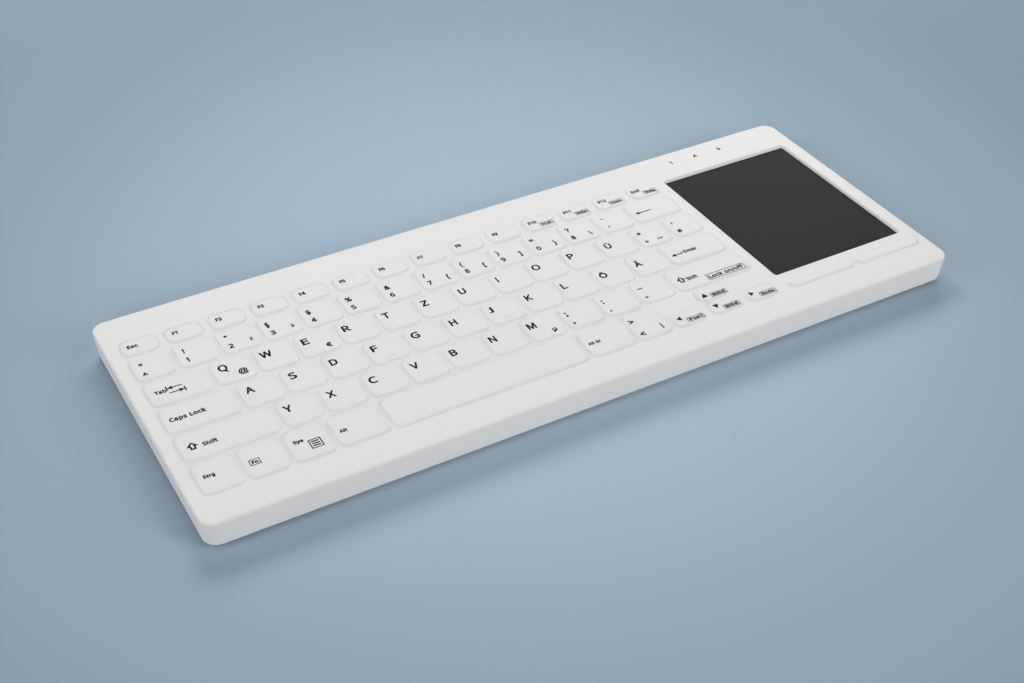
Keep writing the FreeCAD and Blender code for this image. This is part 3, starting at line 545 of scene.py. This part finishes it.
# Print on the keys, in mm. Letters: start from the key's left edge, and width. Signs: word, start
# from the left edge, base line from the front edge, height of a capital, and for some the width.
LETTERS = {
    "q": (3.2, 4.1), "w": (2.8, 5.4), "e": (2.7, 3.2), "r": (2.7, 3.7), "t": (3.0, 3.3),
    "z": (2.8, 3.3), "u": (2.6, 3.3), "i": (2.8, 0.75), "o": (2.4, 4.0), "p": (2.4, 3.2),
    "a": (3.1, 3.9), "s": (3.3, 3.4), "d": (2.8, 3.4), "f": (2.8, 3.0), "g": (2.8, 3.9),
    "h": (2.6, 3.3), "j": (2.6, 2.4), "k": (2.4, 3.5), "l": (2.1, 2.7), "y": (2.7, 3.8),
    "x": (2.7, 3.8), "c": (2.6, 3.7), "v": (2.8, 3.8), "b": (2.4, 3.2), "n": (2.4, 3.3),
    "m": (2.3, 4.0),
}
SIGNS = {
    "q": [("@", 10.2, 3.9, 3.2)], "e": [("€", 11.4, 2.8, 2.9)], "m": [("µ", 11.2, 3.0, 3.4)],
    "u_umlaut": [("Ü", 3.0, 7.5, 3.9)], "o_umlaut": [("Ö", 2.4, 7.3, 3.9)],
    "a_umlaut": [("Ä", 2.2, 7.3, 3.9)],
    "caret": [("^", 3.2, 1.8, 3.4), ("°", 3.7, 7.5, 4.0)],
    "1": [("1", 3.3, 3.1, 3.15), ("!", 3.9, 9.3, 3.3)],
    "2": [("2", 3.3, 3.1, 3.15), ("\"", 3.7, 9.4, 3.1), ("2", 12.9, 4.4, 2.1)],
    "3": [("3", 3.4, 3.2, 3.15), ("§", 3.2, 9.6, 3.2), ("3", 12.9, 4.4, 2.1)],
    "4": [("4", 3.2, 3.1, 3.15), ("$", 3.2, 9.3, 3.2)],
    "5": [("5", 3.4, 3.2, 3.15), ("%", 3.2, 9.3, 3.2)],
    "6": [("6", 3.3, 3.3, 3.15), ("&", 3.1, 9.3, 3.2)],
    "7": [("7", 3.1, 3.3, 3.15), ("/", 3.2, 9.3, 3.2), ("{", 12.7, 4.0, 3.2)],
    "8": [("8", 3.1, 3.3, 3.15), ("(", 3.3, 9.3, 3.2), ("[", 12.8, 4.2, 3.2)],
    "9": [("9", 3.0, 3.4, 3.15), (")", 3.1, 9.3, 3.2), ("]", 12.7, 4.2, 3.2)],
    "0": [("0", 2.9, 3.4, 3.15), ("=", 2.9, 10.6, 3.2), ("}", 12.3, 4.1, 3.2)],
    "sharp_s": [("ß", 2.9, 3.3, 3.15), ("?", 3.2, 9.5, 3.3), ("\\", 12.2, 2.9, 3.4)],
    "accent": [("´", 3.9, 1.8, 3.4), ("`", 4.0, 8.8, 3.4)],
    "plus": [("*", 2.9, 8.9, 3.2), ("+", 2.9, 2.5, 2.8), ("~", 9.7, 2.2, 3.5)],
    "hash": [("#", 2.4, 3.0, 2.7), ("'", 3.4, 8.4, 3.4)],
    "comma": [(",", 2.4, 3.4, 4.2), (";", 2.3, 9.2, 4.2)],
    "period": [(".", 2.2, 3.0, 4.2), (":", 2.2, 9.2, 4.2)],
    "minus": [("-", 2.4, 3.0, 4.0), ("_", 2.3, 11.5, 4.0)],
    "angle": [("<", 1.8, 2.2, 3.6), (">", 1.8, 11.6, 3.6), ("|", 13.3, 3.9, 2.9)],
    "esc": [("Esc", 3.3, 4.8, 2.3, 4.7)], "delete": [("Entf", 2.0, 5.0, 2.3, 5.1)],
    "tab": [("Tab", 3.5, 7.3, 2.3, 4.9)], "caps_lock": [("Caps Lock", 3.2, 7.0, 2.5, 15.5)],
    "enter": [("Enter", 9.4, 6.2, 2.3, 7.1)],
    "shift_left": [("⇧", 3.4, 5.9, 3.9), ("Shift", 9.9, 6.0, 2.4, 6.2)],
    "shift_right": [("⇧", 2.6, 5.8, 3.7), ("Shift", 7.6, 6.0, 2.4, 5.9)],
    "ctrl": [("Strg", 3.3, 9.2, 2.0, 4.8)], "system": [("Sys", 3.0, 10.6, 2.0, 4.3)],
    "alt": [("Alt", 2.7, 8.1, 2.0, 3.4)], "alt_gr": [("Alt Gr", 2.1, 8.0, 2.0, 6.2)],
    "arrow_up": [("▲", 2.0, 2.2, 2.6)], "arrow_down": [("▼", 2.3, 3.8, 2.4)],
    "arrow_left": [("◄", 2.3, 4.0, 2.2)], "arrow_right": [("►", 2.5, 4.0, 2.2)],
}


# Base line and height of a letter. Words on the function keys: start, step to the left with each
# number, base line and height.
LETTER_LINE, LETTER_HEIGHT = 8.7, 4.25
FUNCTION_START, FUNCTION_STEP, FUNCTION_LINE, FUNCTION_HEIGHT = 3.65, 0.08, 5.1, 2.35


def key_print():
    """Every word that is printed on a key."""
    words = {letter: [(letter.upper(), start, LETTER_LINE, LETTER_HEIGHT, width)]
             for letter, (start, width) in LETTERS.items()}
    for key, signs in SIGNS.items():
        words.setdefault(key, []).extend(signs)
    for number in range(1, 13):
        start = FUNCTION_START - FUNCTION_STEP * number
        words[f"f{number}"] = [(f"F{number}", start, FUNCTION_LINE, FUNCTION_HEIGHT)]
    return words


# Framed words: key, word, left, front, width and height of the frame. The word keeps a margin at
# its sides, and its base line and height are shares of the frame's height.
FRAME_MARGIN, FRAME_BASE, FRAME_CAPITAL = 0.9, 0.21, 0.58
FRAMED = [
    ("fn", "Fn", 2.8, 7.2, 4.5, 3.5),
    ("f10", "Druck", 7.7, 1.7, 7.1, 2.8),
    ("f11", "Rollen", 7.6, 1.7, 7.3, 2.8),
    ("f12", "Pause", 7.2, 1.7, 7.4, 2.8),
    ("delete", "Einfg", 7.6, 1.7, 7.1, 2.8),
    ("arrow_left", "Pos1", 6.7, 1.3, 8.5, 2.9),
    ("arrow_down", "Bild", 6.5, 1.3, 8.4, 2.9),
    ("arrow_up", "Bild", 6.5, 0.9, 8.4, 2.9),
    ("arrow_right", "Ende", 6.7, 1.3, 8.5, 2.9),
    ("shift_right", "Lock on/off", 16.6, 1.5, 20.8, 4.4),
]

# Share of the type size that a capital is high, in the built-in signs and in the plain letters
SIGN_CAPITAL, LETTER_CAPITAL = 0.682, 0.714
PLAIN = {ord("A") + i: chr(0x1D5A0 + i) for i in range(26)}
PLAIN.update({ord("a") + i: chr(0x1D5BA + i) for i in range(26)})
PLAIN.update({ord("0") + i: chr(0x1D7E2 + i) for i in range(10)})
PLAIN[ord("?")] = "\uff1f"


# Strokes get bolder with the height of a capital, by this share and over this height
BOLD_SHARE, BOLD_HEIGHT = 0.65, 12 * MM
AT_WEIGHT = 0.8  # the sign "@" is printed thinner
WORD_SPACE = 1.6  # more room between the letters of a word, in strokes
FREE_WIDTH = 0.96  # width of words that have no width of their own
PRINT_FLATNESS = 0.08


def print_word(word, x, y, capital, level, width=None):
    """A word that starts at x and stands on the line y; width is that of the whole word."""
    if word == "I":
        return print_bar(x, y, width, capital, level)
    plain = word.translate(PLAIN)
    height = SIGN_CAPITAL if plain == word else LETTER_CAPITAL
    weight = bpy.context.scene.keyboard_sizes.print_weight * (BOLD_SHARE + capital / BOLD_HEIGHT)
    if word == "@":
        weight *= AT_WEIGHT
    bpy.ops.object.select_all(action="DESELECT")
    bpy.ops.object.text_add(location=(0.0, 0.0, 0.0))
    sign = bpy.context.object
    sign.data.body, sign.data.size = plain, (capital - 2 * weight) / height
    sign.data.resolution_u = 4
    sign.data.bevel_depth, sign.data.bevel_resolution = weight, 0
    if width:
        sign.data.space_character = 1.0 + WORD_SPACE * weight / capital
    bpy.ops.object.convert(target="MESH")
    sign = bpy.context.object
    low = [min(vertex.co[axis] for vertex in sign.data.vertices) for axis in (0, 1)]
    high = [max(vertex.co[axis] for vertex in sign.data.vertices) for axis in (0, 1)]
    wide = width / (high[0] - low[0]) if width else FREE_WIDTH
    if word == "J":
        tall, y = capital / (high[1] - low[1]), y - low[1] * capital / (high[1] - low[1])
    else:
        tall, y = 1.0, y + weight
    sign.scale = (wide, tall, PRINT_FLATNESS)
    sign.location = (x - low[0] * wide, y, level)
    fix_place(sign)
    return paint(sign, "black print")


def print_bar(x, y, width, height, level):
    bpy.ops.object.select_all(action="DESELECT")
    bpy.ops.mesh.primitive_plane_add(size=1.0, location=(x + width / 2, y + height / 2, level))
    bar = bpy.context.object
    bar.scale = (width, height, 1.0)
    fix_place(bar)
    return paint(bar, "black print")


def print_frame(x, y, width, height, level, line=0.36 * MM):
    """A thin frame: a bar whose middle is inset and taken out."""
    bar = print_bar(x, y, width, height, level)
    edit(bar)
    pick("FACE", lambda face: True)
    bpy.ops.mesh.inset(thickness=line)
    bpy.ops.mesh.delete(type="FACE")
    leave_edit()
    return bar


def print_head(x, y, size, level, pointing):
    """A filled arrow head with its tip at x, y; pointing is -1 for left and 1 for right."""
    bpy.ops.object.select_all(action="DESELECT")
    bpy.ops.mesh.primitive_circle_add(vertices=3, radius=1.0, fill_type="NGON",
                                      rotation=(0.0, 0.0, -pointing * math.pi / 2))
    head = bpy.context.object
    fix_place(head)
    head.scale = (size / 1.5, size / 1.8, 1.0)
    head.location = (x - pointing * size / 1.5, y, level)
    fix_place(head)
    return paint(head, "black print")


def print_arrow(x, y, reach, level, pointing, stop=False):
    """A long thin arrow; with a stop it ends at a small upright bar."""
    tip = x if pointing < 0 else x + reach
    start = x + (ARROW_HEAD / 2 if pointing < 0 else 0)
    pieces = [print_bar(start, y - ARROW_LINE / 2, reach - ARROW_HEAD / 2, ARROW_LINE, level),
              print_head(tip, y, ARROW_HEAD, level, pointing)]
    if stop:
        pieces.append(print_bar(tip - ARROW_LINE / 2, y - 1.5 * MM, ARROW_LINE, 3.0 * MM, level))
    return pieces


def drawn_signs(key, x, y, level):
    """Arrows, frames and the menu sign, from the key's left and front edge."""
    mm, signs = MM, []
    if key == "tab":
        signs += print_arrow(x + 8.8 * mm, y + 9.2 * mm, 6.6 * mm, level, -1, stop=True)
        signs += print_arrow(x + 9.2 * mm, y + 6.1 * mm, 6.6 * mm, level, 1, stop=True)
    if key == "backspace":
        signs += print_arrow(x + 2.3 * mm, y + 7.6 * mm, 9.2 * mm, level, -1)
    if key == "enter":
        signs += print_arrow(x + 2.3 * mm, y + 6.8 * mm, 6.2 * mm, level, -1)
        signs.append(print_bar(x + 8.1 * mm, y + 6.6 * mm, 0.45 * mm, 1.6 * mm, level))
    if key == "system":
        signs.append(print_frame(x + 8.5 * mm, y + 4.9 * mm, 5.3 * mm, 5.5 * mm, level, 0.5 * mm))
        for line in range(3):
            signs.append(print_bar(x + 9.5 * mm, y + (6.1 + 1.25 * line) * mm, 3.3 * mm, 0.7 * mm,
                                   level))
    for owner, word, left, front, width, height in FRAMED:
        if owner == key:
            signs.append(print_frame(x + left * mm, y + front * mm, width * mm, height * mm, level))
            signs.append(print_word(
                word, x + (left + FRAME_MARGIN) * mm, y + (front + FRAME_BASE * height) * mm,
                FRAME_CAPITAL * height * mm, level, (width - 2 * FRAME_MARGIN) * mm))
    return signs


# The key pads
# Steps from the deck to the flat top of a pad: inward in millimetres, upward as a share of the rise
SHOULDER = [(0.12, 0.0), (0.14, 0.03), (0.13, 0.09), (0.13, 0.17), (0.13, 0.21), (0.15, 0.20),
            (0.18, 0.15), (0.22, 0.10), (0.28, 0.05), (0.40, 0.0)]


def model_pad(name, width, depth, s):
    """A key pad about the origin: a rounded block of the skin, inset and raised in small steps."""
    pad = add_plate(name, width + 2 * s.web, depth + 2 * s.web, s.key_corner + s.web, -s.skin)
    edit(pad)
    pick("FACE", lambda face: True)
    bpy.ops.mesh.extrude_region_move(TRANSFORM_OT_translate={"value": (0.0, 0.0, s.skin)})
    for inward, upward in SHOULDER:
        bpy.ops.mesh.inset(thickness=inward * MM, depth=upward * (s.key_top - s.deck))
    bpy.ops.mesh.select_all(action="SELECT")
    bpy.ops.mesh.normals_make_consistent(inside=False)
    leave_edit()
    smooth(pad, 60.0)
    return paint(pad, "soft silicone")


def home_bar(x, y, s):
    """The raised bar that the fingers find on F and J."""
    level = s.key_top
    bar = add_block("home_bar", (x - 2.0 * MM, y - 0.4 * MM, level - 0.02 * MM),
                    (x + 2.0 * MM, y + 0.4 * MM, level + 0.24 * MM))
    edit(bar)
    pick("EDGE", lambda edge: sum(vertex.co.z for vertex in edge.verts) > 2 * level)
    bpy.ops.mesh.bevel(offset=0.2 * MM, segments=3)
    leave_edit()
    smooth(bar, 50.0)
    return paint(bar, "soft silicone")


def dress_keys(s):
    """One piece for each key node, with the pads and their print."""
    patterns, pieces, signs = {}, {}, key_print()
    level = s.key_top + s.ink_lift
    for key, left, right, front, back in key_rows(s):
        size = (round(right - left, 6), round(back - front, 6))
        if size not in patterns:
            patterns[size] = model_pad(f"pattern_{key}", *size, s)
        middle = ((left + right) / 2, (front + back) / 2, s.deck)
        parts = [copy_to(patterns[size], f"pad_{key}", middle)]
        for word, x, y, capital, *width in signs.get(key, []):
            parts.append(print_word(word, left + x * MM, front + y * MM, capital * MM, level,
                                    *(share * MM for share in width)))
        parts += drawn_signs(key, left, front, level)
        if key in ("f", "j"):
            parts.append(home_bar((left + right) / 2, front + 3.4 * MM, s))
        pieces.setdefault(node_of(key), []).extend(parts)
    for pattern in patterns.values():
        discard(pattern)
    for node, parts in pieces.items():
        piece = join(f"pads_{node}", parts)
        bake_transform(piece)
        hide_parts(node)


def dress_buttons(s):
    """The pointer buttons fall from a crest at their front to the deck, and are flush behind it."""
    for node, left, right, front, back in button_rows(s):
        pad = model_pad(f"pad_{node}", right - left, back - front, s)
        flush = BUTTON_CREST + s.button_slope - s.button_depth / 2
        edit(pad)
        bpy.ops.mesh.select_all(action="SELECT")
        bpy.ops.mesh.bisect(plane_co=(0.0, flush, 0.0), plane_no=(0.0, 1.0, 0.0),
                            threshold=0.001 * MM)
        pick("VERT", lambda vertex: vertex.co.z > -NEAR and vertex.co.y > flush - NEAR)
        bpy.ops.transform.resize(value=(1.0, 1.0, 0.0), center_override=(0.0, 0.0, 0.0))
        leave_edit()
        pad.location = ((left + right) / 2, (front + back) / 2, s.deck)
        fix_place(pad)
        smooth(pad, 60.0)
        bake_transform(pad)
        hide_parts(node)


# The cover
def cover_openings(s):
    """Blocks with the outlines of every key, pointer button and the touchpad window."""
    patterns, blocks = {}, []
    for key, left, right, front, back in key_rows(s) + button_rows(s):
        size = (round(right - left + 2 * s.web, 6), round(back - front + 2 * s.web, 6))
        if size not in patterns:
            patterns[size] = raised_plate(size, s.key_corner + s.web, s)
        middle = ((left + right) / 2, (front + back) / 2, 0.0)
        blocks.append(copy_to(patterns[size], f"opening_{key}", middle))
    for pattern in patterns.values():
        discard(pattern)
    window = raised_plate((s.pad_width, s.pad_depth), s.pad_corner, s)
    window.location = (*pad_middle(s), 0.0)
    fix_place(window)
    return join("openings", blocks + [window, add_gland_bar("gland_bore", 0.1 * MM)])


def pad_middle(s):
    return (s.pad_left + s.pad_width / 2 - s.case_width / 2,
            s.pad_front + s.pad_depth / 2 - s.case_depth / 2)


def raised_plate(size, radius, s):
    """A rounded plate drawn up through the skin of the deck."""
    plate = add_plate("plate", *size, radius, s.deck - 2 * s.skin)
    edit(plate)
    pick("FACE", lambda face: True)
    bpy.ops.mesh.extrude_region_move(TRANSFORM_OT_translate={"value": (0.0, 0.0, 4 * s.skin)})
    bpy.ops.mesh.select_all(action="SELECT")
    bpy.ops.mesh.normals_make_consistent(inside=False)
    leave_edit()
    return plate


def dress_cover(s):
    """The silicone cover: a drafted block, rounded, opened below, given a wall and openings."""
    half_x, half_y = s.case_width / 2, s.case_depth / 2
    cover = add_block("cover_skin", (-half_x, -half_y, s.underside), (half_x, half_y, s.deck))
    edit(cover)
    pick("EDGE", lambda edge: abs(edge.verts[0].co.z - edge.verts[1].co.z) > MM)
    bpy.ops.mesh.bevel(offset=s.corner_radius, segments=14, profile=0.5)
    pick("FACE", lambda face: face.normal.z < -0.9)
    shrink = ((half_x - s.wall_draft) / half_x, (half_y - s.wall_draft) / half_y, 1.0)
    bpy.ops.transform.resize(value=shrink, center_override=(0.0, 0.0, s.underside))
    pick("EDGE", lambda edge: all(vertex.co.z > s.deck - NEAR for vertex in edge.verts))
    bpy.ops.mesh.bevel(offset=s.top_round, segments=8, profile=0.5)
    pick("FACE", lambda face: face.normal.z < -0.99 and len(face.verts) > 8)
    bpy.ops.mesh.inset(thickness=s.lip_reach)
    bpy.ops.mesh.delete(type="FACE")
    leave_edit()
    apply_modifier(cover, "SOLIDIFY", thickness=s.skin, offset=-1.0, use_even_offset=True)
    openings = cover_openings(s)
    apply_modifier(cover, "BOOLEAN", operation="DIFFERENCE", object=openings, solver="EXACT")
    discard(openings)
    round_window(cover, s)
    round_lip(cover, s)
    smooth(cover, 30.0)
    apply_modifier(cover, "WEIGHTED_NORMAL", keep_sharp=True, weight=80)
    paint(cover, "soft silicone")
    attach(cover, "case")
    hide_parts("silicone_cover")


def round_window(cover, s):
    """Round the rim of the touchpad window."""
    x, y = pad_middle(s)
    half_x, half_y = s.pad_width / 2 + 0.05 * MM, s.pad_depth / 2 + 0.05 * MM

    def on_rim(edge):
        return all(abs(vertex.co.x - x) < half_x and abs(vertex.co.y - y) < half_y
                   and vertex.co.z > s.deck - NEAR for vertex in edge.verts)

    edit(cover)
    pick("EDGE", on_rim)
    bpy.ops.mesh.bevel(offset=s.pad_rim, segments=7, profile=0.5)
    leave_edit()


def round_lip(cover, s):
    """Round the outer edge of the lip."""

    def on_lip(edge):
        if any(vertex.co.z > s.underside + NEAR for vertex in edge.verts):
            return False
        middle = (edge.verts[0].co + edge.verts[1].co) / 2
        return any(abs(face.normal.z) < 0.5 and face.normal.dot(middle) > 0
                   for face in edge.link_faces)

    edit(cover)
    pick("EDGE", on_lip)
    bpy.ops.mesh.bevel(offset=0.5 * MM, segments=3, profile=0.5)
    leave_edit()


def dress_marks(s):
    """The signs over the three status lights: number lock, capitals and scroll."""
    signs = []
    y = s.case_depth / 2 - MARK_BACK
    for number, word in enumerate("1A↓"):
        x = s.pad_left - s.case_width / 2 + MARK_START + number * MARK_PITCH
        sign = print_word(word, x, y, MARK_CAPITAL, s.deck + s.ink_lift)
        paint(sign, "grey print")
        high = max(vertex.co.x for vertex in sign.data.vertices)
        sign.location.x = (x - high) / 2
        fix_place(sign)
        signs.append(sign)
    marks = join("status_signs", signs)
    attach(marks, "case")


# Underneath and behind
def dress_feet():
    """Rounded rubber feet: one is modelled and copied six times."""
    reach_x, reach_y = (FOOT_HIGH.x - FOOT_LOW.x) / 2, (FOOT_HIGH.y - FOOT_LOW.y) / 2
    pattern = add_block("foot_pattern", (-FOOT_LONG / 2, -FOOT_WIDE / 2, FOOT_LOW.z),
                        (FOOT_LONG / 2, FOOT_WIDE / 2, FOOT_HIGH.z))
    edit(pattern)
    pick("EDGE", lambda edge: abs(edge.verts[0].co.z - edge.verts[1].co.z) > MM)
    bpy.ops.mesh.bevel(offset=0.49 * FOOT_WIDE, segments=10, profile=0.5)
    pick("EDGE", lambda edge: all(vertex.co.z < NEAR for vertex in edge.verts))
    bpy.ops.mesh.bevel(offset=0.5 * MM, segments=3, profile=0.5)
    leave_edit()
    smooth(pattern, 40.0)
    feet = []
    for side in (-1, 1):
        for share in (-1, 0, 1):
            place = (share * (reach_x - FOOT_LONG / 2), side * (reach_y - FOOT_WIDE / 2), 0.0)
            feet.append(copy_to(pattern, f"foot_{side}_{share}", place))
    discard(pattern)
    piece = paint(join("rubber_foot_pads", feet), "foot rubber")
    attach(piece, "case")
    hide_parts("rubber_feet")


def dress_screws():
    """Pan-head screws with a cross recess."""
    reach_x, reach_y = SCREW_HIGH.x - SCREW_RADIUS, SCREW_HIGH.y - SCREW_RADIUS
    bpy.ops.object.select_all(action="DESELECT")
    bpy.ops.mesh.primitive_cylinder_add(vertices=32, radius=SCREW_RADIUS, depth=SCREW_HEAD,
                                        location=(0.0, 0.0, SCREW_LOW.z + SCREW_HEAD / 2))
    pattern = bpy.context.object
    fix_place(pattern)
    edit(pattern)
    pick("EDGE", lambda edge: all(vertex.co.z < SCREW_LOW.z + NEAR for vertex in edge.verts))
    bpy.ops.mesh.bevel(offset=0.35 * MM, segments=3, profile=0.5)
    pick("FACE", lambda face: face.normal.z > 0.9)
    bpy.ops.mesh.inset(thickness=SCREW_RADIUS - SCREW_SHANK)
    bpy.ops.mesh.extrude_region_move(TRANSFORM_OT_translate={
        "value": (0.0, 0.0, SCREW_HIGH.z - SCREW_LOW.z - SCREW_HEAD)})
    leave_edit()
    for wide, deep in ((1.3, 0.28), (0.28, 1.3)):
        slot = add_block("slot", (-wide * MM, -deep * MM, SCREW_LOW.z - 0.5 * MM),
                         (wide * MM, deep * MM, SCREW_LOW.z + 0.6 * MM))
        apply_modifier(pattern, "BOOLEAN", operation="DIFFERENCE", object=slot, solver="EXACT")
        discard(slot)
    smooth(pattern, 30.0)
    screws = []
    for side in (-1, 1):
        for share in (-1, 0, 1):
            place = (share * reach_x, side * reach_y, 0.0)
            screws.append(copy_to(pattern, f"screw_{side}_{share}", place))
    discard(pattern)
    piece = paint(join("cross_screws", screws), "screw steel")
    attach(piece, "case")
    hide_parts("case_screws")


def add_gland_bar(name, extra=0.0):
    """A round bar where the gland sits in the back wall; with extra it is wider and longer."""
    middle, size = (GLAND_LOW + GLAND_HIGH) / 2, GLAND_HIGH - GLAND_LOW
    bpy.ops.object.select_all(action="DESELECT")
    bpy.ops.mesh.primitive_cylinder_add(vertices=48, radius=size.x / 2 + extra,
                                        depth=size.y + (2.0 * MM if extra else 0.0),
                                        location=middle, rotation=(math.pi / 2, 0.0, 0.0))
    bar = bpy.context.object
    bar.name = name
    fix_place(bar)
    return bar


def dress_gland():
    """The gland with its rounded rim and the hole that the cord would fill; the floor of the short
    bore is painted near-black, a painted shade of a deep hole.
    """
    bar = add_gland_bar("gland_sleeve")
    edit(bar)
    pick("FACE", lambda face: face.normal.y > 0.9)
    bpy.ops.mesh.inset(thickness=0.35 * MM, depth=GLAND_RISE)
    bpy.ops.mesh.inset(thickness=0.55 * MM)
    bpy.ops.mesh.extrude_region_move(TRANSFORM_OT_translate={"value": (0.0, -3.0 * MM, 0.0)})
    leave_edit()
    bar.location.y = -GLAND_RISE
    fix_place(bar)
    smooth(bar, 35.0)
    paint(bar, "gland rubber")
    # The bore's floor gets a near-black finish: painted shade that makes the short bore look deep.
    bar.data.materials.append(finish_named("cord hole"))
    edit(bar)
    pick("FACE", lambda face: (face.normal.y > 0.9
                               and face.calc_center_median().y < GLAND_HIGH.y - MM))
    bar.active_material_index = 1
    bpy.ops.object.material_slot_assign()
    leave_edit()
    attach(bar, "case")
    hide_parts("cable_gland")


def dress_nodes():
    """Give every CAD node that still shows its own finish."""
    for node, finish in NODE_FINISHES.items():
        paint(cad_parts[node], finish)


# The studio: name, place, diameter, power and tint of each light
WHITE = (1.0, 1.0, 1.0)
LIGHTS = [
    ("window light", (0.9, 1.3, 1.3), 0.8, 5.3, WHITE),
    ("back light", (0.1, 0.8, 0.75), 0.5, 4.4, WHITE),
    ("low light", (0.8, 0.75, 0.5), 0.35, 2.8, WHITE),
    ("left back light", (-0.9, 1.2, 1.2), 0.8, 2.3, WHITE),
    ("left light", (-1.6, 0.1, 0.8), 1.0, 10.5, WHITE),
    ("left front light", (-1.1, -1.4, 0.7), 1.0, 10.9, (1.0, 0.95, 0.94)),
    ("right front light", (1.0, -1.5, 0.7), 1.0, 15.0, (1.0, 0.99, 0.96)),
    ("high front light", (1.1, -1.1, 1.5), 1.2, 5.6, WHITE),
]
FLOOR_SIZE = 40.0
AIR_GLOW = 0.01
CAMERA_PLACE = (-0.281264, -0.460364, 0.409135)
CAMERA_DEGREES = (51.75079, -0.79638, -29.68699)
CAMERA_LENS, CAMERA_SENSOR, CAMERA_REACH = 52.2332, 36.0, 50.0


def light(name, place, size, power, tint):
    """A round lamp that looks at the origin."""
    bpy.ops.object.light_add(type="AREA", location=place)
    lamp = bpy.context.object
    lamp.name, lamp.data.shape, lamp.data.size, lamp.data.energy = name, "DISK", size, power
    lamp.data.color = tint
    lamp.rotation_euler = (-Vector(place)).to_track_quat("-Z", "Y").to_euler()


def build_studio():
    bpy.ops.object.select_all(action="DESELECT")
    bpy.ops.mesh.primitive_plane_add(size=FLOOR_SIZE, location=(0.0, 0.0, 0.0))
    floor = bpy.context.object
    floor.name = "table_top"
    # The floor's finish holds painted light: it is darker away from the middle and glows far out.
    paint(floor, "plain floor")
    for lamp in LIGHTS:
        light(*lamp)
    world = bpy.data.worlds.new("studio air")
    world.use_nodes = True
    world.node_tree.nodes["Background"].inputs["Color"].default_value = (*WHITE, 1.0)
    world.node_tree.nodes["Background"].inputs["Strength"].default_value = AIR_GLOW
    bpy.context.scene.world = world
    turn = tuple(math.radians(angle) for angle in CAMERA_DEGREES)
    bpy.ops.object.camera_add(location=CAMERA_PLACE, rotation=turn)
    camera = bpy.context.object
    camera.data.lens, camera.data.sensor_width = CAMERA_LENS, CAMERA_SENSOR
    camera.data.clip_end = CAMERA_REACH
    bpy.context.scene.camera = camera
    bpy.context.scene.view_settings.view_transform = "Standard"


# Operators, in the order in which main calls them
class KEYBOARD_OT_cover(bpy.types.Operator):
    """Model the silicone cover with its openings"""

    bl_idname = "keyboard.cover"
    bl_label = "Cover"

    def execute(self, context):
        dress_cover(context.scene.keyboard_sizes)
        return {"FINISHED"}


class KEYBOARD_OT_keys(bpy.types.Operator):
    """Model the key pads with their print"""

    bl_idname = "keyboard.keys"
    bl_label = "Keys"

    def execute(self, context):
        dress_keys(context.scene.keyboard_sizes)
        return {"FINISHED"}


class KEYBOARD_OT_pointer_buttons(bpy.types.Operator):
    """Model the two pointer buttons"""

    bl_idname = "keyboard.pointer_buttons"
    bl_label = "Pointer buttons"

    def execute(self, context):
        dress_buttons(context.scene.keyboard_sizes)
        return {"FINISHED"}


class KEYBOARD_OT_status_signs(bpy.types.Operator):
    """Print the signs over the status lights"""

    bl_idname = "keyboard.status_signs"
    bl_label = "Status signs"

    def execute(self, context):
        dress_marks(context.scene.keyboard_sizes)
        return {"FINISHED"}


class KEYBOARD_OT_underside(bpy.types.Operator):
    """Model the feet, the screws and the cable gland"""

    bl_idname = "keyboard.underside"
    bl_label = "Underside"

    def execute(self, context):
        dress_feet()
        dress_screws()
        dress_gland()
        return {"FINISHED"}


class KEYBOARD_OT_inner_finishes(bpy.types.Operator):
    """Give the touchpad, the bottom case and the inner pieces their finishes"""

    bl_idname = "keyboard.inner_finishes"
    bl_label = "Inner finishes"

    def execute(self, context):
        dress_nodes()
        return {"FINISHED"}


class KEYBOARD_OT_studio(bpy.types.Operator):
    """Set up the table top, the lights and the camera"""

    bl_idname = "keyboard.studio"
    bl_label = "Studio"

    def execute(self, context):
        build_studio()
        return {"FINISHED"}


class KEYBOARD_PT_panel(bpy.types.Panel):
    """Sizes, colours and steps of the keyboard"""

    bl_idname = "KEYBOARD_PT_panel"
    bl_label = "Medical keyboard"
    bl_space_type = "VIEW_3D"
    bl_region_type = "UI"
    bl_category = "Keyboard"

    def draw(self, context):
        for group in (context.scene.keyboard_sizes, context.scene.keyboard_colours):
            box = self.layout.box()
            for name in group.__annotations__:
                box.prop(group, name)
        for step in STEPS:
            self.layout.operator(step.bl_idname)


STEPS = (KEYBOARD_OT_cover, KEYBOARD_OT_keys, KEYBOARD_OT_pointer_buttons, KEYBOARD_OT_status_signs,
         KEYBOARD_OT_underside, KEYBOARD_OT_inner_finishes, KEYBOARD_OT_studio)
CLASSES = (KeyboardSizes, KeyboardColours, *STEPS, KEYBOARD_PT_panel)


def register():
    for item in CLASSES:
        bpy.utils.register_class(item)
    bpy.types.Scene.keyboard_sizes = bpy.props.PointerProperty(type=KeyboardSizes)
    bpy.types.Scene.keyboard_colours = bpy.props.PointerProperty(type=KeyboardColours)


def unregister():
    del bpy.types.Scene.keyboard_colours
    del bpy.types.Scene.keyboard_sizes
    for item in reversed(CLASSES):
        bpy.utils.unregister_class(item)


def main():
    register()
    bpy.ops.keyboard.cover()
    bpy.ops.keyboard.keys()
    bpy.ops.keyboard.pointer_buttons()
    bpy.ops.keyboard.status_signs()
    bpy.ops.keyboard.underside()
    bpy.ops.keyboard.inner_finishes()
    bpy.ops.keyboard.studio()


if __name__ == "__main__":
    main()
